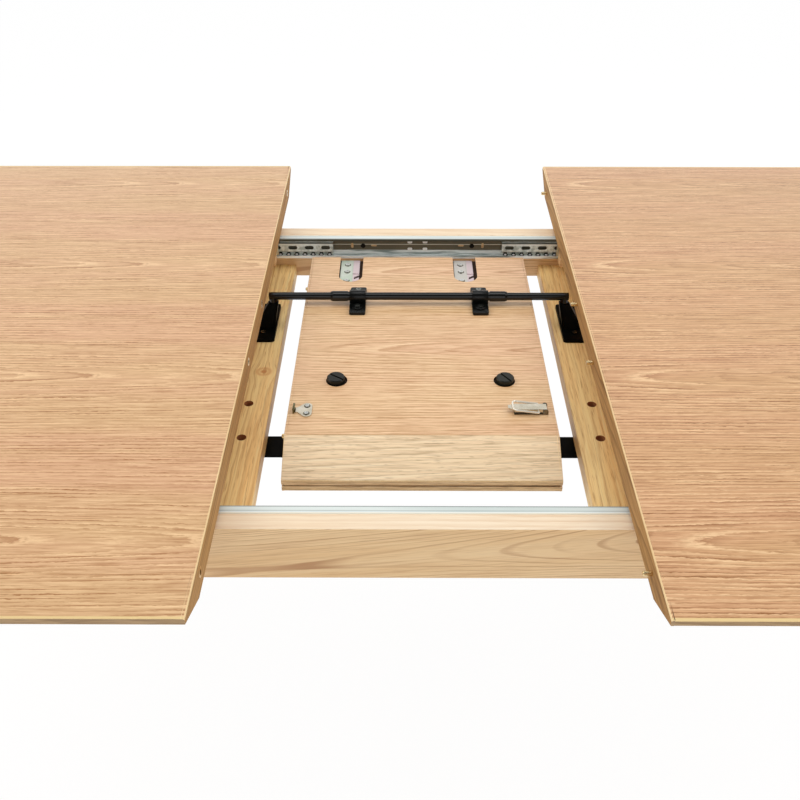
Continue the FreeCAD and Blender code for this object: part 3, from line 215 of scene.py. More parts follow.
# %% [markdown]
# ## An empty material
# Oak, zinc and nylon all throw light back by the same rules, with other numbers. Blender has a
# shader for each effect, such as Diffuse and Glossy, and they could be mixed by hand. The
# Principled shader holds them all in one node and never gives back more light than it got, so
# every material here starts from it, and only a few of its inputs are touched.


# %% A new material
def blank(name):
    """A new material with a Principled shader, wired up and ready."""
    material = bpy.data.materials.new(name)
    material.use_nodes = True
    tree = material.node_tree
    tree.nodes.clear()
    shader = put(tree, "BsdfPrincipled")
    put(tree, "OutputMaterial", {"Surface": shader.outputs[0]})
    return material, tree, shader


print("materials that came with the model", [material.name for material in bpy.data.materials])

# %% [markdown]
# ## Year rings
# A board is sawn or sliced from a log, and its lines are the year rings that the cut crosses.
# The Wave texture could draw such lines quickly, but all alike. Here each point is asked how
# far it is from the heart of its log, and that distance is counted in rings. Where the cut
# runs nearly along a ring, the lines come out as narrow pointed arches, and beside them they
# are straight, as on a real board. Everything is read from Object coordinates, so the grain
# stays on a board as it slides.

# %% How a plain board is cut, and how its figure shows
PLAIN_CUT = dict(
    heart=0.0,  # where the arches sit across the board
    pitch=0.0,  # how often they come back, as in slip-matched veneer
    lean=0.0,  # how far the grain runs aside for each metre along
    tip=0.0,  # where along the board the arches close
    slope=0.06,  # how steeply the cut crosses the rings
    saddle=0.0,  # above 0, the arches open away from the tip instead
    depth=0.0,  # how far from the heart the board is cut
    through=1.0,  # 1 where the rings go on through the board, 0 where they needn't
    spacing=0.0052,  # from ring to ring
    wander=0.004,  # how far the lines sway
    ragged=0.0,  # how torn the lines' edges are, in rings
    line_width=0.34,  # how much of a ring its dark line takes to fade in
    rings=0.6,  # how strongly the dark lines show, 0 to 1
    pale_rings=0.5,  # the same for the pale line beside each of them
    streaks=0.5,  # the same for the streaks between the lines
    hairs=0.3,  # the same for the fine hairs
    pores=0.2,  # the same for the open pores
    dash=24.0,  # streaks a metre along the grain
    pore_dash=46.0,  # pores a metre along the grain
    streak_across=330.0,  # streaks a metre across it
    tint_across=11.0,  # patches of the other ground a metre across it
    knot=(),  # a knot's middle and its half lengths
    rim=0.0,  # how far from the middle the veneer is worn through to its pale core
    seed=0.0,  # shifts the board along the noise, so that no two are alike
    gloss=0.46,  # roughness: 0 is a mirror
    sheen=0.5,  # how much light the wood itself throws back
    coat=0.3,  # how much lacquer lies over it
)
print("a cut has", len(PLAIN_CUT), "values")

# %% [markdown]
# ## A knot
# The left cross rail has one small knot, where a branch left the trunk and the grain parts
# round it. It could be a dark disc laid over the lines, which would then run into it like
# rails into a tunnel. So the knot also pushes the lines aside before they are counted, and has
# a few rings of its own.

# %% Part the grain round a knot
# In half lengths of the knot, where each effect starts and where it is full.
KNOT_PARTING = (3.4, 0.2)
KNOT_HEART = (1.3, 0.5)
KNOT_PUSH = 0.8
KNOT_WAVES = 9.0
KNOT_TONE = colour(206, 128, 62)


def part_round_knot(tree, across, u, v, at, size):
    """Pushes the grain lines apart around a knot, and gives the knot's own share too."""
    du = calc(tree, "DIVIDE", calc(tree, "SUBTRACT", u, at[0]), size[0])
    dv = calc(tree, "DIVIDE", calc(tree, "SUBTRACT", v, at[1]), size[1])
    reach = reach_of(tree, du, dv)
    near = stretch_mask(tree, reach, *KNOT_PARTING)
    near = calc(tree, "MULTIPLY", calc(tree, "MULTIPLY", near, near), KNOT_PUSH)
    offset = calc(tree, "SUBTRACT", v, at[1])
    across = calc(tree, "SUBTRACT", across, calc(tree, "MULTIPLY", offset, near))
    wave = calc(tree, "SINE", calc(tree, "MULTIPLY", reach, KNOT_WAVES))
    heart = calc(tree, "MULTIPLY", stretch_mask(tree, reach, *KNOT_HEART),
                 calc(tree, "MULTIPLY_ADD", wave, 0.28, 0.5))
    return across, heart


print("a knot parts the grain over", KNOT_PARTING[0], "times its half length")

# %% [markdown]
# ## Counting the rings
# Year rings are never true circles: a tree grows unevenly, and a saw tears the soft edge of
# each ring a little. The lines could be bent by one strong noise, but then they look like
# smoke. Three gentle ones of very different length are added instead: a slow sway over a whole
# board, a quick one, and an unevenness that makes some rings wider than others.

# %% Count the rings
# Repeats a metre along the grain, across it and through the board.
SLOW_SWAY = (2.2, 9.0, 9.0)
QUICK_SWAY = (22.0, 80.0, 80.0)
UNEVEN_RINGS = (1.2, 60.0, 60.0)
TORN_EDGE = (120.0, 500.0, 500.0)
QUICK_SHARE = 0.35
ARCH_UNEVEN = 1.4
SADDLE_UNEVEN = 0.15
SADDLE_START = 0.84


def count_rings(tree, cut, u, w, grain):
    """Counts the rings from the heart outwards. A whole number is where one of them ends."""
    slow = grain_noise(tree, grain, SLOW_SWAY)
    quick = grain_noise(tree, grain, QUICK_SWAY)
    quick_way = QUICK_SHARE * cut.wander
    sway = calc(tree, "ADD", calc(tree, "MULTIPLY_ADD", slow, 2 * cut.wander, -cut.wander),
                calc(tree, "MULTIPLY_ADD", quick, 2 * quick_way, -quick_way))
    side = calc(tree, "ADD", grain[1], sway)
    rise = calc(tree, "MULTIPLY", calc(tree, "SUBTRACT", u, cut.tip), cut.slope)
    rise = calc(tree, "ADD", rise, calc(tree, "MULTIPLY_ADD", slow, cut.wander, cut.depth))
    if cut.through:
        rise = calc(tree, "MULTIPLY_ADD", w, cut.through, rise)
    uneven = grain_noise(tree, grain, UNEVEN_RINGS, 1.0)
    if cut.saddle:
        squares = [calc(tree, "MULTIPLY", way, way) for way in (side, rise)]
        count = calc(tree, "DIVIDE", calc(tree, "SUBTRACT", *squares), cut.saddle * cut.spacing)
        count = calc(tree, "ADD", count, SADDLE_START)
        count = calc(tree, "MULTIPLY_ADD", uneven, SADDLE_UNEVEN, count)
    else:
        count = calc(tree, "DIVIDE", reach_of(tree, side, rise), cut.spacing)
        count = calc(tree, "MULTIPLY_ADD", uneven, ARCH_UNEVEN, count)
    if cut.ragged:
        torn = grain_noise(tree, grain, TORN_EDGE, 2.0, 0.6)
        count = calc(tree, "MULTIPLY_ADD", torn, cut.ragged, count)
    return count


print("the slow sway comes back every", round(1 / SLOW_SWAY[0], 2), "m along a board")

# %% [markdown]
# ## The edges of a ring
# A ring ends in dense dark late wood, and the next begins with a thin pale band. Both could be
# drawn at full strength all the way, as ink lines. On real oak a line is strong in one stretch
# and faint in the next, so each ring number gets its own noise along the grain, and the noise
# breaks the dark edge and the pale one in different places.

# %% Find the edges of a ring
# From 0 where a ring starts to 1 where it ends.
DARK_FULL_FROM = 0.86
DARK_FULL_TO = 0.94
PALE_EDGE = ((0.0, 0.35), (0.12, 1.0), (0.20, 0.7), (0.42, 0.0), (1.0, 0.0))
BREAKS = (0.36, 0.66)
BREAK_LENGTH = 0.45
RING_STEP = 3.7
ELSEWHERE = (31.7, 5.3, 2.1)


def ring_edges(tree, cut, along, count):
    """Masks for the dark edge of each ring and for its pale one, both broken in places."""
    ring = calc(tree, "FRACT", count)
    number = calc(tree, "FLOOR", count)
    dark_edge = level_ramp(tree, ring, (0.0, 0.0), (DARK_FULL_FROM - cut.line_width, 0.0),
                           (DARK_FULL_FROM, 1.0), (DARK_FULL_TO, 1.0), (1.0, 0.0))
    pale_edge = level_ramp(tree, ring, *PALE_EDGE)
    key = put(tree, "CombineXYZ", {0: calc(tree, "MULTIPLY", along, cut.dash * BREAK_LENGTH),
                                   1: calc(tree, "MULTIPLY", number, RING_STEP)}).outputs[0]
    broken = stretch_mask(tree, noise(tree, key, 1.0, 2.0, 0.6), *BREAKS)
    away = put(tree, "VectorMath", {0: key, 1: ELSEWHERE}, operation="ADD").outputs[0]
    broken_pale = stretch_mask(tree, noise(tree, away, 1.0, 2.0, 0.6), *BREAKS)
    return (calc(tree, "MULTIPLY", dark_edge, broken),
            calc(tree, "MULTIPLY", pale_edge, broken_pale))


print("a dark edge is full for", round(DARK_FULL_TO - DARK_FULL_FROM, 2), "of its ring")

# %% [markdown]
# ## Any of the woods
# Between the rings oak has long streaks, hair-fine lines and open pores, on a ground that
# drifts from one tone to another. Each board could have its own graph. One function that takes
# the board's cut and its four tones keeps them all of one kind, as boards from one supplier
# are. It lays the effects over each other from the broadest to the finest, and the last ones
# also dent the surface and change its gloss, because a pore is a hole in the lacquer.

# %% A function that makes any of the woods
HAIR_DASH = 2.6
HAIR_ACROSS = 800.0
PORE_ACROSS = 900.0
TINT_ALONG = 1.6
# The noise values at which each effect starts to show and at which it is full.
PATCHES = (0.40, 0.60)
DARK_STREAKS = (0.53, 0.74)
PALE_STREAKS = (0.47, 0.28)
HAIRS = (0.50, 0.75)
PORES = (0.62, 0.72)
RIM_FADE = 0.0006
RIM_TONE = colour(226, 196, 136)
PORE_DENT = -0.6
HAIR_DENT = -0.4
DENT_STRENGTH = 0.2
DENT_DEPTH = 0.0003
HAIR_DULLNESS = 0.12
LACQUER_ROUGHNESS = 0.3


def lay_tones(tree, cut, tone_set, noises, edges):
    """The colour of a board: its four tones, laid over each other by their masks."""
    pale, ground, other, dark = tone_set
    tint, streak, hair, speck = noises
    dark_edge, pale_edge = edges
    tone = mixed(tree, stretch_mask(tree, tint, *PATCHES), ground, other)
    tone = mixed(tree, stretch_mask(tree, streak, *DARK_STREAKS, 0.0, cut.streaks), tone, dark)
    tone = mixed(tree, stretch_mask(tree, streak, *PALE_STREAKS, 0.0, cut.streaks), tone, pale)
    tone = mixed(tree, stretch_mask(tree, hair, *HAIRS, 0.0, cut.hairs), tone, dark)
    tone = mixed(tree, calc(tree, "MULTIPLY", pale_edge, cut.pale_rings), tone, pale)
    tone = mixed(tree, calc(tree, "MULTIPLY", dark_edge, cut.rings), tone, dark)
    return mixed(tree, calc(tree, "MULTIPLY", speck, cut.pores), tone, dark)


def wood(name, axes, tone_set, **changes):
    """Wood with its grain along axes[0], seen across axes[1], with axes[2] into the board.

    tone_set is its pale line, ground, other ground and dark line, and changes are the values
    in which the board's cut differs from PLAIN_CUT.
    """
    cut = SimpleNamespace(**{**PLAIN_CUT, **changes})
    material, tree, shader = blank(name)
    place = put(tree, "TexCoord").outputs["Object"]
    split = put(tree, "SeparateXYZ", {0: place}).outputs
    u, v, w = (split[axis] for axis in axes)
    across = calc(tree, "SUBTRACT", v, cut.heart)
    if cut.pitch:
        across = calc(tree, "WRAP", across, cut.pitch / 2, -cut.pitch / 2)
    if cut.lean:
        across = calc(tree, "MULTIPLY_ADD", u, cut.lean, across)
    if cut.knot:
        across, knot_share = part_round_knot(tree, across, u, v, *cut.knot)
    grain = (calc(tree, "ADD", u, cut.seed), across, w)
    edges = ring_edges(tree, cut, grain[0], count_rings(tree, cut, u, w, grain))

    tint = grain_noise(tree, grain, (TINT_ALONG, cut.tint_across, cut.tint_across), 3.0, 0.55)
    streak = grain_noise(tree, grain, (cut.dash, cut.streak_across, cut.streak_across), 3.0, 0.6)
    hair = grain_noise(tree, grain, (HAIR_DASH * cut.dash, HAIR_ACROSS, HAIR_ACROSS))
    speck = grain_noise(tree, grain, (cut.pore_dash, PORE_ACROSS, PORE_ACROSS), 1.0)
    speck = stretch_mask(tree, speck, *PORES)

    tone = lay_tones(tree, cut, tone_set, (tint, streak, hair, speck), edges)
    if cut.knot:
        tone = mixed(tree, knot_share, tone, KNOT_TONE)
    if cut.rim:
        worn = stretch_mask(tree, calc(tree, "ABSOLUTE", v), cut.rim, cut.rim + RIM_FADE)
        tone = mixed(tree, worn, tone, RIM_TONE)
    tree.links.new(tone, shader.inputs["Base Color"])

    height = calc(tree, "MULTIPLY_ADD", speck, PORE_DENT, calc(tree, "MULTIPLY", hair, HAIR_DENT))
    bump = put(tree, "Bump", {"Height": height, "Strength": DENT_STRENGTH,
                              "Distance": DENT_DEPTH})
    tree.links.new(bump.outputs[0], shader.inputs["Normal"])
    dull = calc(tree, "MULTIPLY_ADD", hair, HAIR_DULLNESS, cut.gloss)
    tree.links.new(dull, shader.inputs["Roughness"])
    shader.inputs["Specular IOR Level"].default_value = cut.sheen
    shader.inputs["Coat Weight"].default_value = cut.coat
    shader.inputs["Coat Roughness"].default_value = LACQUER_ROUGHNESS
    return material


print("wood function ready")

# %% [markdown]
# ## Oak veneer
# The half tops and the leaf carry thin sliced oak under lacquer, laid slip matched: slice after
# slice goes down the same way up, so the same arches come back every quarter metre. Each slice
# could be a piece of its own. One board whose pattern repeats by its pitch gives the same
# figure with no joints to hide. The leaf has narrower slices and cleaner lines, and is paler,
# because it spends most of its life in the dark.

# %% Make the veneers
LEFT_TONES = tones((246, 208, 157), (212, 170, 121), (213, 164, 122), (152, 90, 8))
RIGHT_TONES = tones((246, 208, 158), (207, 160, 110), (208, 156, 111), (140, 82, 6))
LEAF_TONES = tones((253, 221, 174), (225, 187, 139), (225, 180, 138), (160, 100, 22))
VENEER_PITCH = 0.249
LEAF_PITCH = 0.194
TOP_RIM = 0.4468
VENEER_LOOK = dict(slope=0.06, through=0.0, rings=0.97, pale_rings=0.75, streaks=0.7,
                   hairs=0.48, pores=0.45, dash=13.0, spacing=0.0046, line_width=0.20,
                   streak_across=480.0, wander=0.003, coat=1.0, ragged=0.7, sheen=0.25)
LEAF_LOOK = dict(VENEER_LOOK, rings=0.8, pale_rings=0.7, streaks=0.5, hairs=0.6, dash=15.0,
                 ragged=0.25)
veneer_left = wood("oak_veneer_left", "XYZ", LEFT_TONES, heart=0.136, pitch=VENEER_PITCH,
                   tip=-0.56, seed=3.1, rim=TOP_RIM, **VENEER_LOOK)
veneer_right = wood("oak_veneer_right", "XYZ", RIGHT_TONES, heart=0.136, pitch=VENEER_PITCH,
                    tip=0.56, seed=7.7, rim=TOP_RIM, **VENEER_LOOK)
veneer_leaf = wood("oak_veneer_leaf", "XYZ", LEAF_TONES, heart=0.018, pitch=LEAF_PITCH,
                   tip=0.30, seed=12.4, **LEAF_LOOK)
print("veneers", [skin.name for skin in (veneer_left, veneer_right, veneer_leaf)])

# %% [markdown]
# ## Solid oak at the edges
# Veneer would chip at an edge, so solid oak is glued all round it. It could take the veneer's
# own material, but solid wood is sawn another way: it shows fine straight lines, and end grain
# where it is cut off. So each side gets a wood whose axes follow its own grain. The lipping on
# the mating ends is bare and matt, and its tones are painted darker, as painted shade for the
# gap between the half tops. The narrow rounds along the edges are painted pale as a painted
# highlight, the palest place of all.

# %% Make the solid oak
SOLID_TONES = tones((254, 240, 208), (243, 216, 175), (238, 208, 166), (136, 98, 48))
BAND_TONES = tones((252, 224, 178), (246, 211, 157), (238, 200, 145), (154, 110, 60))
TOP_BAND_TONES = tones((206, 172, 128), (184, 150, 106), (172, 138, 96), (116, 84, 48))
# The lipping's tones are darkened as painted shade for the gap between the half tops.
LIPPING_SHADE_TONES = tones((208, 162, 102), (188, 142, 84), (178, 132, 75), (116, 76, 34))
# The arris tones are pale as a painted highlight on the rounded edges.
ARRIS_HIGHLIGHT_TONES = tones((250, 222, 172), (244, 214, 160), (240, 206, 150), (214, 170, 112))
solid_oak = wood("oak_edge_along", "XYZ", SOLID_TONES, heart=0.9, spacing=0.0044, rings=0.3,
                 pale_rings=0.4, streaks=0.36, hairs=0.5, pores=0.45, dash=11.0,
                 pore_dash=70.0, line_width=0.2, streak_across=820.0, seed=1.3)
solid_oak_end = wood("oak_edge_across", "YXZ", SOLID_TONES, heart=1.9, spacing=0.005,
                     rings=0.35, pale_rings=0.3, streaks=0.6, pores=0.5, seed=5.3)
top_band_oak = wood("top_edge_band", "XZY", TOP_BAND_TONES, heart=0.9, spacing=0.0044,
                    rings=0.5, pale_rings=0.3, streaks=0.6, hairs=0.5, pores=0.5, dash=16.0,
                    seed=8.1)
band_oak = wood("oak_edge_band", "XZY", BAND_TONES, heart=0.9, spacing=0.0044, rings=0.5,
                pale_rings=0.4, streaks=0.6, hairs=0.6, pores=0.6, dash=20.0, seed=6.3)
lipping_shade_oak = wood("oak_lipping_painted_shade", "YZX", LIPPING_SHADE_TONES, heart=0.62, spacing=0.004, depth=0.1,
                   rings=0.7, pale_rings=0.4, streaks=0.7, dash=10.0, coat=0.0, gloss=0.7,
                   seed=2.2)
arris_highlight_oak = wood("oak_arris_painted_highlight", "YXZ", ARRIS_HIGHLIGHT_TONES, heart=1.1, rings=0.2, streaks=0.3, seed=4.1)
print("solid oak", [oak.name for oak in (solid_oak, solid_oak_end, top_band_oak, band_oak,
                                         lipping_shade_oak, arris_highlight_oak)])

# %% [markdown]
# ## Frame wood
# Under the tops is a plain pale hardwood, yellower on the two cross rails. It could be one
# material for every board, but grain runs along a board's length, and the boards run three
# ways: along X in the aprons, along Y in the rails, upright in the legs. So there is one wood
# for each way, and the two cross rails, which lie in full view, get a figure each. A pitch of
# twice the heart gives the left and right legs the same figure.

# %% Make the frame woods
FRAME_TONES = tones((252, 222, 176), (245, 210, 160), (238, 198, 144), (166, 104, 50))
FRAME_TOP_TONES = tones((250, 235, 210), (242, 223, 195), (238, 213, 180), (200, 150, 98))
RAIL_TONES = tones((255, 242, 184), (255, 225, 156), (255, 211, 138), (164, 88, 18))
KNOT_AT = (0.015, -0.194)
KNOT_SIZE = (0.009, 0.010)
RAIL_LOOK = dict(depth=-0.655, slope=0.05, spacing=0.0075, wander=0.011, rings=0.42,
                 pale_rings=0.3, streaks=0.35, hairs=0.3, pores=0.45, dash=9.0,
                 pore_dash=40.0, line_width=0.3, tint_across=20.0, coat=0.1)
UNSEEN_LOOK = dict(wander=0.008, rings=0.4, pale_rings=0.0, streaks=0.3, pores=0.12, dash=8.0,
                   line_width=0.5)
frame_wood_x = wood("frame_wood_along_x", "XZY", FRAME_TONES, heart=0.677, lean=-0.11,
                    through=0.0, tip=-0.1255, slope=0.1, saddle=0.03, spacing=0.008,
                    rings=0.85, pale_rings=0.15, streaks=0.30, hairs=0.2, pores=0.25, dash=9.0,
                    pore_dash=30.0, line_width=0.16, tint_across=30.0, seed=4.4)
# The upper faces of the aprons get paler tones than their sides.
frame_wood_top = wood("frame_wood_upper_face", "XYZ", FRAME_TOP_TONES, heart=0.35, depth=-0.75,
                      spacing=0.009, wander=0.008, rings=0.35, pale_rings=0.1, streaks=0.25,
                      hairs=0.15, pores=0.15, dash=9.0, line_width=0.5, seed=3.3)
rail_left = wood("frame_wood_left_rail", "YXZ", RAIL_TONES, heart=-0.105, tip=-0.9, seed=6.4,
                 knot=(KNOT_AT, KNOT_SIZE), **RAIL_LOOK)
rail_right = wood("frame_wood_right_rail", "YXZ", RAIL_TONES, heart=0.105, tip=1.2, seed=8.2,
                  **RAIL_LOOK)
frame_wood_y = wood("frame_wood_along_y", "YZX", FRAME_TONES, heart=0.66, depth=-0.58,
                    spacing=0.013, seed=7.1, **UNSEEN_LOOK)
leg_wood = wood("frame_wood_upright", "ZXY", FRAME_TONES, heart=0.60, pitch=1.2, depth=-0.28,
                slope=0.03, tip=0.9, spacing=0.012, seed=9.4, **UNSEEN_LOOK)
print("frame woods", [board.name for board in (frame_wood_x, frame_wood_top, rail_left,
                                               rail_right, frame_wood_y, leg_wood)])

# %% [markdown]
# ## Cut and drilled wood
# Inside a routed pocket and on the wall of a drilled hole the wood is rough, has no lacquer and
# gets little light. Real shade falls there by itself, and the dark tones add painted shade to
# it, so that a pocket and a hole look as deep as they are. A black patch would look painted on,
# so it is the same wood function with dark tones and no gloss.

# %% Make the cut woods
# Painted shade for the hinge pockets, and for the walls of the holes in the rails.
POCKET_SHADE_TONES = tones((80, 52, 28), (58, 36, 18), (52, 32, 16), (30, 18, 8))
HOLE_SHADE_TONES = tones((196, 128, 76), (172, 106, 60), (160, 96, 52), (104, 58, 26))
CUT_LOOK = dict(heart=0.5, coat=0.0, gloss=0.8)
pocket_shade_wood = wood("cut_wood_painted_shade", "XYZ", POCKET_SHADE_TONES, seed=2.9, **CUT_LOOK)
hole_shade_wood = wood("drilled_wood_painted_shade", "XYZ", HOLE_SHADE_TONES, seed=1.9, **CUT_LOOK)
print("cut woods", pocket_shade_wood.name, hole_shade_wood.name)

# %% [markdown]
# ## Metal, black coats and plastic
# No coat on metal or plastic is perfectly even: it has clouds, duller spots and a fine grain. A
# flat colour and one roughness would be quick, and would look like a drawing. So one function
# lays two tones in clouds, makes the gloss uneven, and adds a bump too fine to see by itself,
# which breaks up the highlights as on real parts.

# %% A function for metals, coats and plastic
CLOUDS = (0.38, 0.62)
SKIN_GRAIN = 900.0
SKIN_DEPTH = 0.0002


def finish_coat(name, base, tint, metallic, rough, cloud=0.08, bump=0.05, specular=0.5,
                stretch=(1.0, 1.0, 1.0), patch=35.0):
    """A coat in clouds of two tones, with uneven gloss and a fine surface texture.

    patch is how many clouds there are a metre, stretch draws them out, and cloud is how far
    the gloss strays from rough.
    """
    material, tree, shader = blank(name)
    place = put(tree, "TexCoord").outputs["Object"]
    split = put(tree, "SeparateXYZ", {0: place}).outputs
    spread = stretched(tree, split[:3], *stretch)
    clouds = noise(tree, spread, patch, 3.0)
    grains = noise(tree, spread, SKIN_GRAIN, 2.0)
    share = stretch_mask(tree, clouds, *CLOUDS)
    tree.links.new(mixed(tree, share, base, tint), shader.inputs["Base Color"])
    shader.inputs["Metallic"].default_value = metallic
    shader.inputs["Specular IOR Level"].default_value = specular
    mottle = calc(tree, "MULTIPLY_ADD", calc(tree, "ADD", clouds, grains), cloud, rough - cloud)
    tree.links.new(mottle, shader.inputs["Roughness"])
    skin = put(tree, "Bump", {"Height": grains, "Strength": bump, "Distance": SKIN_DEPTH})
    tree.links.new(skin.outputs[0], shader.inputs["Normal"])
    return material


print("coat function ready")

# %% [markdown]
# ## Zinc, steel, nickel and brass
# The slides and screws are zinc plated, cool and slightly cloudy, and on the rolled slides the
# clouds are drawn out along X. The latches are nickel plated, warmer and brighter, the balls
# polished steel, and the pins turned from brass. They could differ in colour alone, but the
# eye tells metals apart by their gloss as much, so each has its own roughness and clouds.

# %% Make the bright metals
ALONG_SLIDE = (0.15, 1.0, 1.0)
NICKEL_TONES = tones((222, 214, 196), (202, 194, 174))
NICKEL_LOOK = dict(cloud=0.05, patch=90.0)
zinc = finish_coat("zinc_plate", colour(214, 222, 222), colour(196, 204, 200), 1.0, 0.34,
                   stretch=ALONG_SLIDE)
screw_zinc = finish_coat("screw_zinc", colour(232, 232, 228), colour(208, 210, 204), 1.0, 0.28,
                         patch=200.0)
ball_steel = finish_coat("bearing_steel", colour(252, 252, 252), colour(236, 238, 240), 0.3,
                         0.14, cloud=0.03, specular=0.8)
nickel = finish_coat("nickel_plate", *NICKEL_TONES, 0.85, 0.18, **NICKEL_LOOK)
wire_nickel = finish_coat("bright_wire", colour(250, 244, 230), colour(236, 228, 210), 0.6,
                          0.20, **NICKEL_LOOK)
# The latch bases get a darker nickel as painted shade, so the gaps round the levers look dark.
shaded_nickel = finish_coat("shaded_nickel", colour(120, 112, 94), colour(82, 76, 62), 0.9,
                            0.24, **NICKEL_LOOK)
brass = finish_coat("turned_brass", colour(240, 218, 170), colour(222, 194, 142), 1.0, 0.24,
                    cloud=0.05)
print("bright metals", [metal.name for metal in (zinc, screw_zinc, ball_steel, nickel,
                                                 wire_nickel, shaded_nickel, brass)])

# %% [markdown]
# ## Black coats and nylon
# The brackets and the strap are powder coated and matt, the rod is smooth and glossy, the
# clamps are in between, and the glides are dark nylon. Pure black would be the simplest, but
# it swallows every shape, and no real coat is that dark. So each gets two tones near black,
# and its highlights tell its shape. The black screws are metal, and only oxidised.

# %% Make the black coats and the nylon
black_coat = finish_coat("black_powder_coat", colour(3, 4, 3), colour(8, 9, 7), 0.0, 0.40,
                         bump=0.25, specular=0.05)
black_rod = finish_coat("black_rod", colour(4, 5, 4), colour(9, 9, 7), 0.0, 0.16, bump=0.03,
                        specular=0.38, cloud=0.02)
black_cast = finish_coat("black_casting", colour(4, 5, 4), colour(10, 11, 9), 0.0, 0.26,
                         bump=0.3, specular=0.26)
black_screw = finish_coat("black_oxide", colour(150, 152, 146), colour(96, 98, 92), 1.0, 0.22)
dark_screw = finish_coat("dark_screw", colour(20, 20, 17), colour(34, 34, 30), 0.2, 0.34,
                         specular=0.15)
black_nylon = finish_coat("black_nylon", colour(20, 21, 16), colour(34, 34, 27), 0.0, 0.40,
                          bump=0.2, specular=0.30)
print("black finishes", [coat.name for coat in (black_coat, black_rod, black_cast, black_screw,
                                                dark_screw, black_nylon)])

# %% [markdown]
# ## Slide channel
# The fixed channel is one rolled steel section. Its lips and bottom are bright zinc. The web
# inside lies in shade and mirrors the dark underside of the table, so it is painted olive
# grey as painted shade, and the inner side of the lips gets a darker painted shade. A pressed
# rib along the web gets a painted highlight, and there are four small bright lugs. The section
# could be cut into a piece for each tone. It is one solid that has to stay whole, so the tones
# are told apart by how far a point is from the middle of the table and how high it is. First
# come two helpers, one to open a finished coat again and one to draw a thin line on it.


# %% Open a finished coat again
def opened(material):
    """A coat's tree, its colour input, the colour that is wired there now, and X, Y and Z."""
    tree = material.node_tree
    base = tree.nodes["Principled BSDF"].inputs["Base Color"]
    place = put(tree, "TexCoord").outputs["Object"]
    split = put(tree, "SeparateXYZ", {0: place}).outputs
    return tree, base, base.links[0].from_socket, split[:3]


def line_at(tree, value, middle, outer, inner, share):
    """A mask for a thin line where a value passes a middle."""
    away = calc(tree, "ABSOLUTE", calc(tree, "SUBTRACT", value, middle))
    return stretch_mask(tree, away, outer, inner, 0.0, share)


print("coats can be opened")

# %% Paint the inside of the channels
WEB_FACE = 0.2878
LUG_FACE = 0.2869
LIP_FACE = 0.278
CHANNEL_TOP = 0.7135
# Distances from the middle and heights where each tone starts and where it is full.
LUGS = (WEB_FACE - 0.0014, WEB_FACE - 0.0010)
RIB_HIGHLIGHT = (LUG_FACE + 0.00010, LUG_FACE + 0.00022)
WEB_SHADE_SPAN = (WEB_FACE - 0.0004, WEB_FACE - 0.0002)
UNDER_TOP = (CHANNEL_TOP - 0.0003, CHANNEL_TOP - 0.0008)
LIP_SIDE = (LIP_FACE + 0.0009, LIP_FACE + 0.0005)
LIP_UNDER = (CHANNEL_TOP - 0.0006, CHANNEL_TOP - 0.0011)
LIP_ABOVE = (0.700, 0.701)
WEB_SHADE_REPEATS = 40.0
channel_zinc = finish_coat("channel_zinc", colour(222, 230, 226), colour(204, 214, 210), 0.12,
                           0.33, stretch=(0.12, 1.0, 1.0))
tree, base, bright, (x, y, z) = opened(channel_zinc)
out = calc(tree, "ABSOLUTE", y)
bright = mixed(tree, stretch_mask(tree, out, *LUGS), bright, colour(255, 255, 252))
# A painted highlight along the pressed rib.
bright = mixed(tree, stretch_mask(tree, out, *RIB_HIGHLIGHT), bright, colour(226, 222, 204))
# Painted shade on the web, which mirrors the dark underside of the table.
web_shade_mask = calc(tree, "MULTIPLY", stretch_mask(tree, out, *WEB_SHADE_SPAN), stretch_mask(tree, z, *UNDER_TOP))
web_shade_blotches = noise(tree, put(tree, "TexCoord").outputs["Object"], WEB_SHADE_REPEATS, 3.0)
web_shade_tone = mixed(tree, web_shade_blotches, colour(94, 90, 72), colour(116, 110, 92))
bright = mixed(tree, web_shade_mask, bright, web_shade_tone)
# Painted shade on the inner side of the lip.
lip_shade = calc(tree, "MULTIPLY", stretch_mask(tree, z, *LIP_UNDER),
           stretch_mask(tree, out, *LIP_SIDE))
lip_shade = calc(tree, "MULTIPLY", lip_shade, stretch_mask(tree, z, *LIP_ABOVE))
bright = mixed(tree, lip_shade, bright, colour(66, 68, 58))
print("inside of the channels painted,", len(tree.nodes), "nodes")

# %% [markdown]
# ## Top and bottom of the channel
# On top the sheet is rolled over at its edge and bent along a crease, and the bottom flange is
# stained by handling. Both lines could be grooves in the solid, but they are far too shallow to
# matter there. Two grey lines of painted shade stand in for the shade in them, and the stains are
# noise drawn out along X.

# %% Paint the top and the bottom of the channels
CREASE = LIP_FACE + 0.0066
ROLLED_EDGE = (LIP_FACE + 0.0016, LIP_FACE + 0.0009)
ON_TOP = (CHANNEL_TOP - 0.0010, CHANNEL_TOP - 0.0005)
BOTTOM_FLANGE = (0.6914, 0.6906)
STAIN_REPEATS = (16.0, 240.0, 240.0)
STAINS = (0.50, 0.64)
rolled_edge_shade = stretch_mask(tree, out, *ROLLED_EDGE, 0.0, 0.75)
crease_shade = line_at(tree, out, CREASE, 0.0009, 0.0004, 0.35)
edge_shade_lines = calc(tree, "MULTIPLY", stretch_mask(tree, z, *ON_TOP),
             calc(tree, "MAXIMUM", rolled_edge_shade, crease_shade))
# Painted shade along the rolled edge and the crease.
bright = mixed(tree, edge_shade_lines, bright, colour(112, 120, 118))
stains = stretch_mask(tree, grain_noise(tree, (x, y, z), STAIN_REPEATS, 3.0), *STAINS)
flange = mixed(tree, stains, colour(250, 255, 252), colour(140, 154, 150))
tree.links.new(mixed(tree, stretch_mask(tree, z, *BOTTOM_FLANGE), bright, flange), base)
print("channel zinc ready,", len(tree.nodes), "nodes")
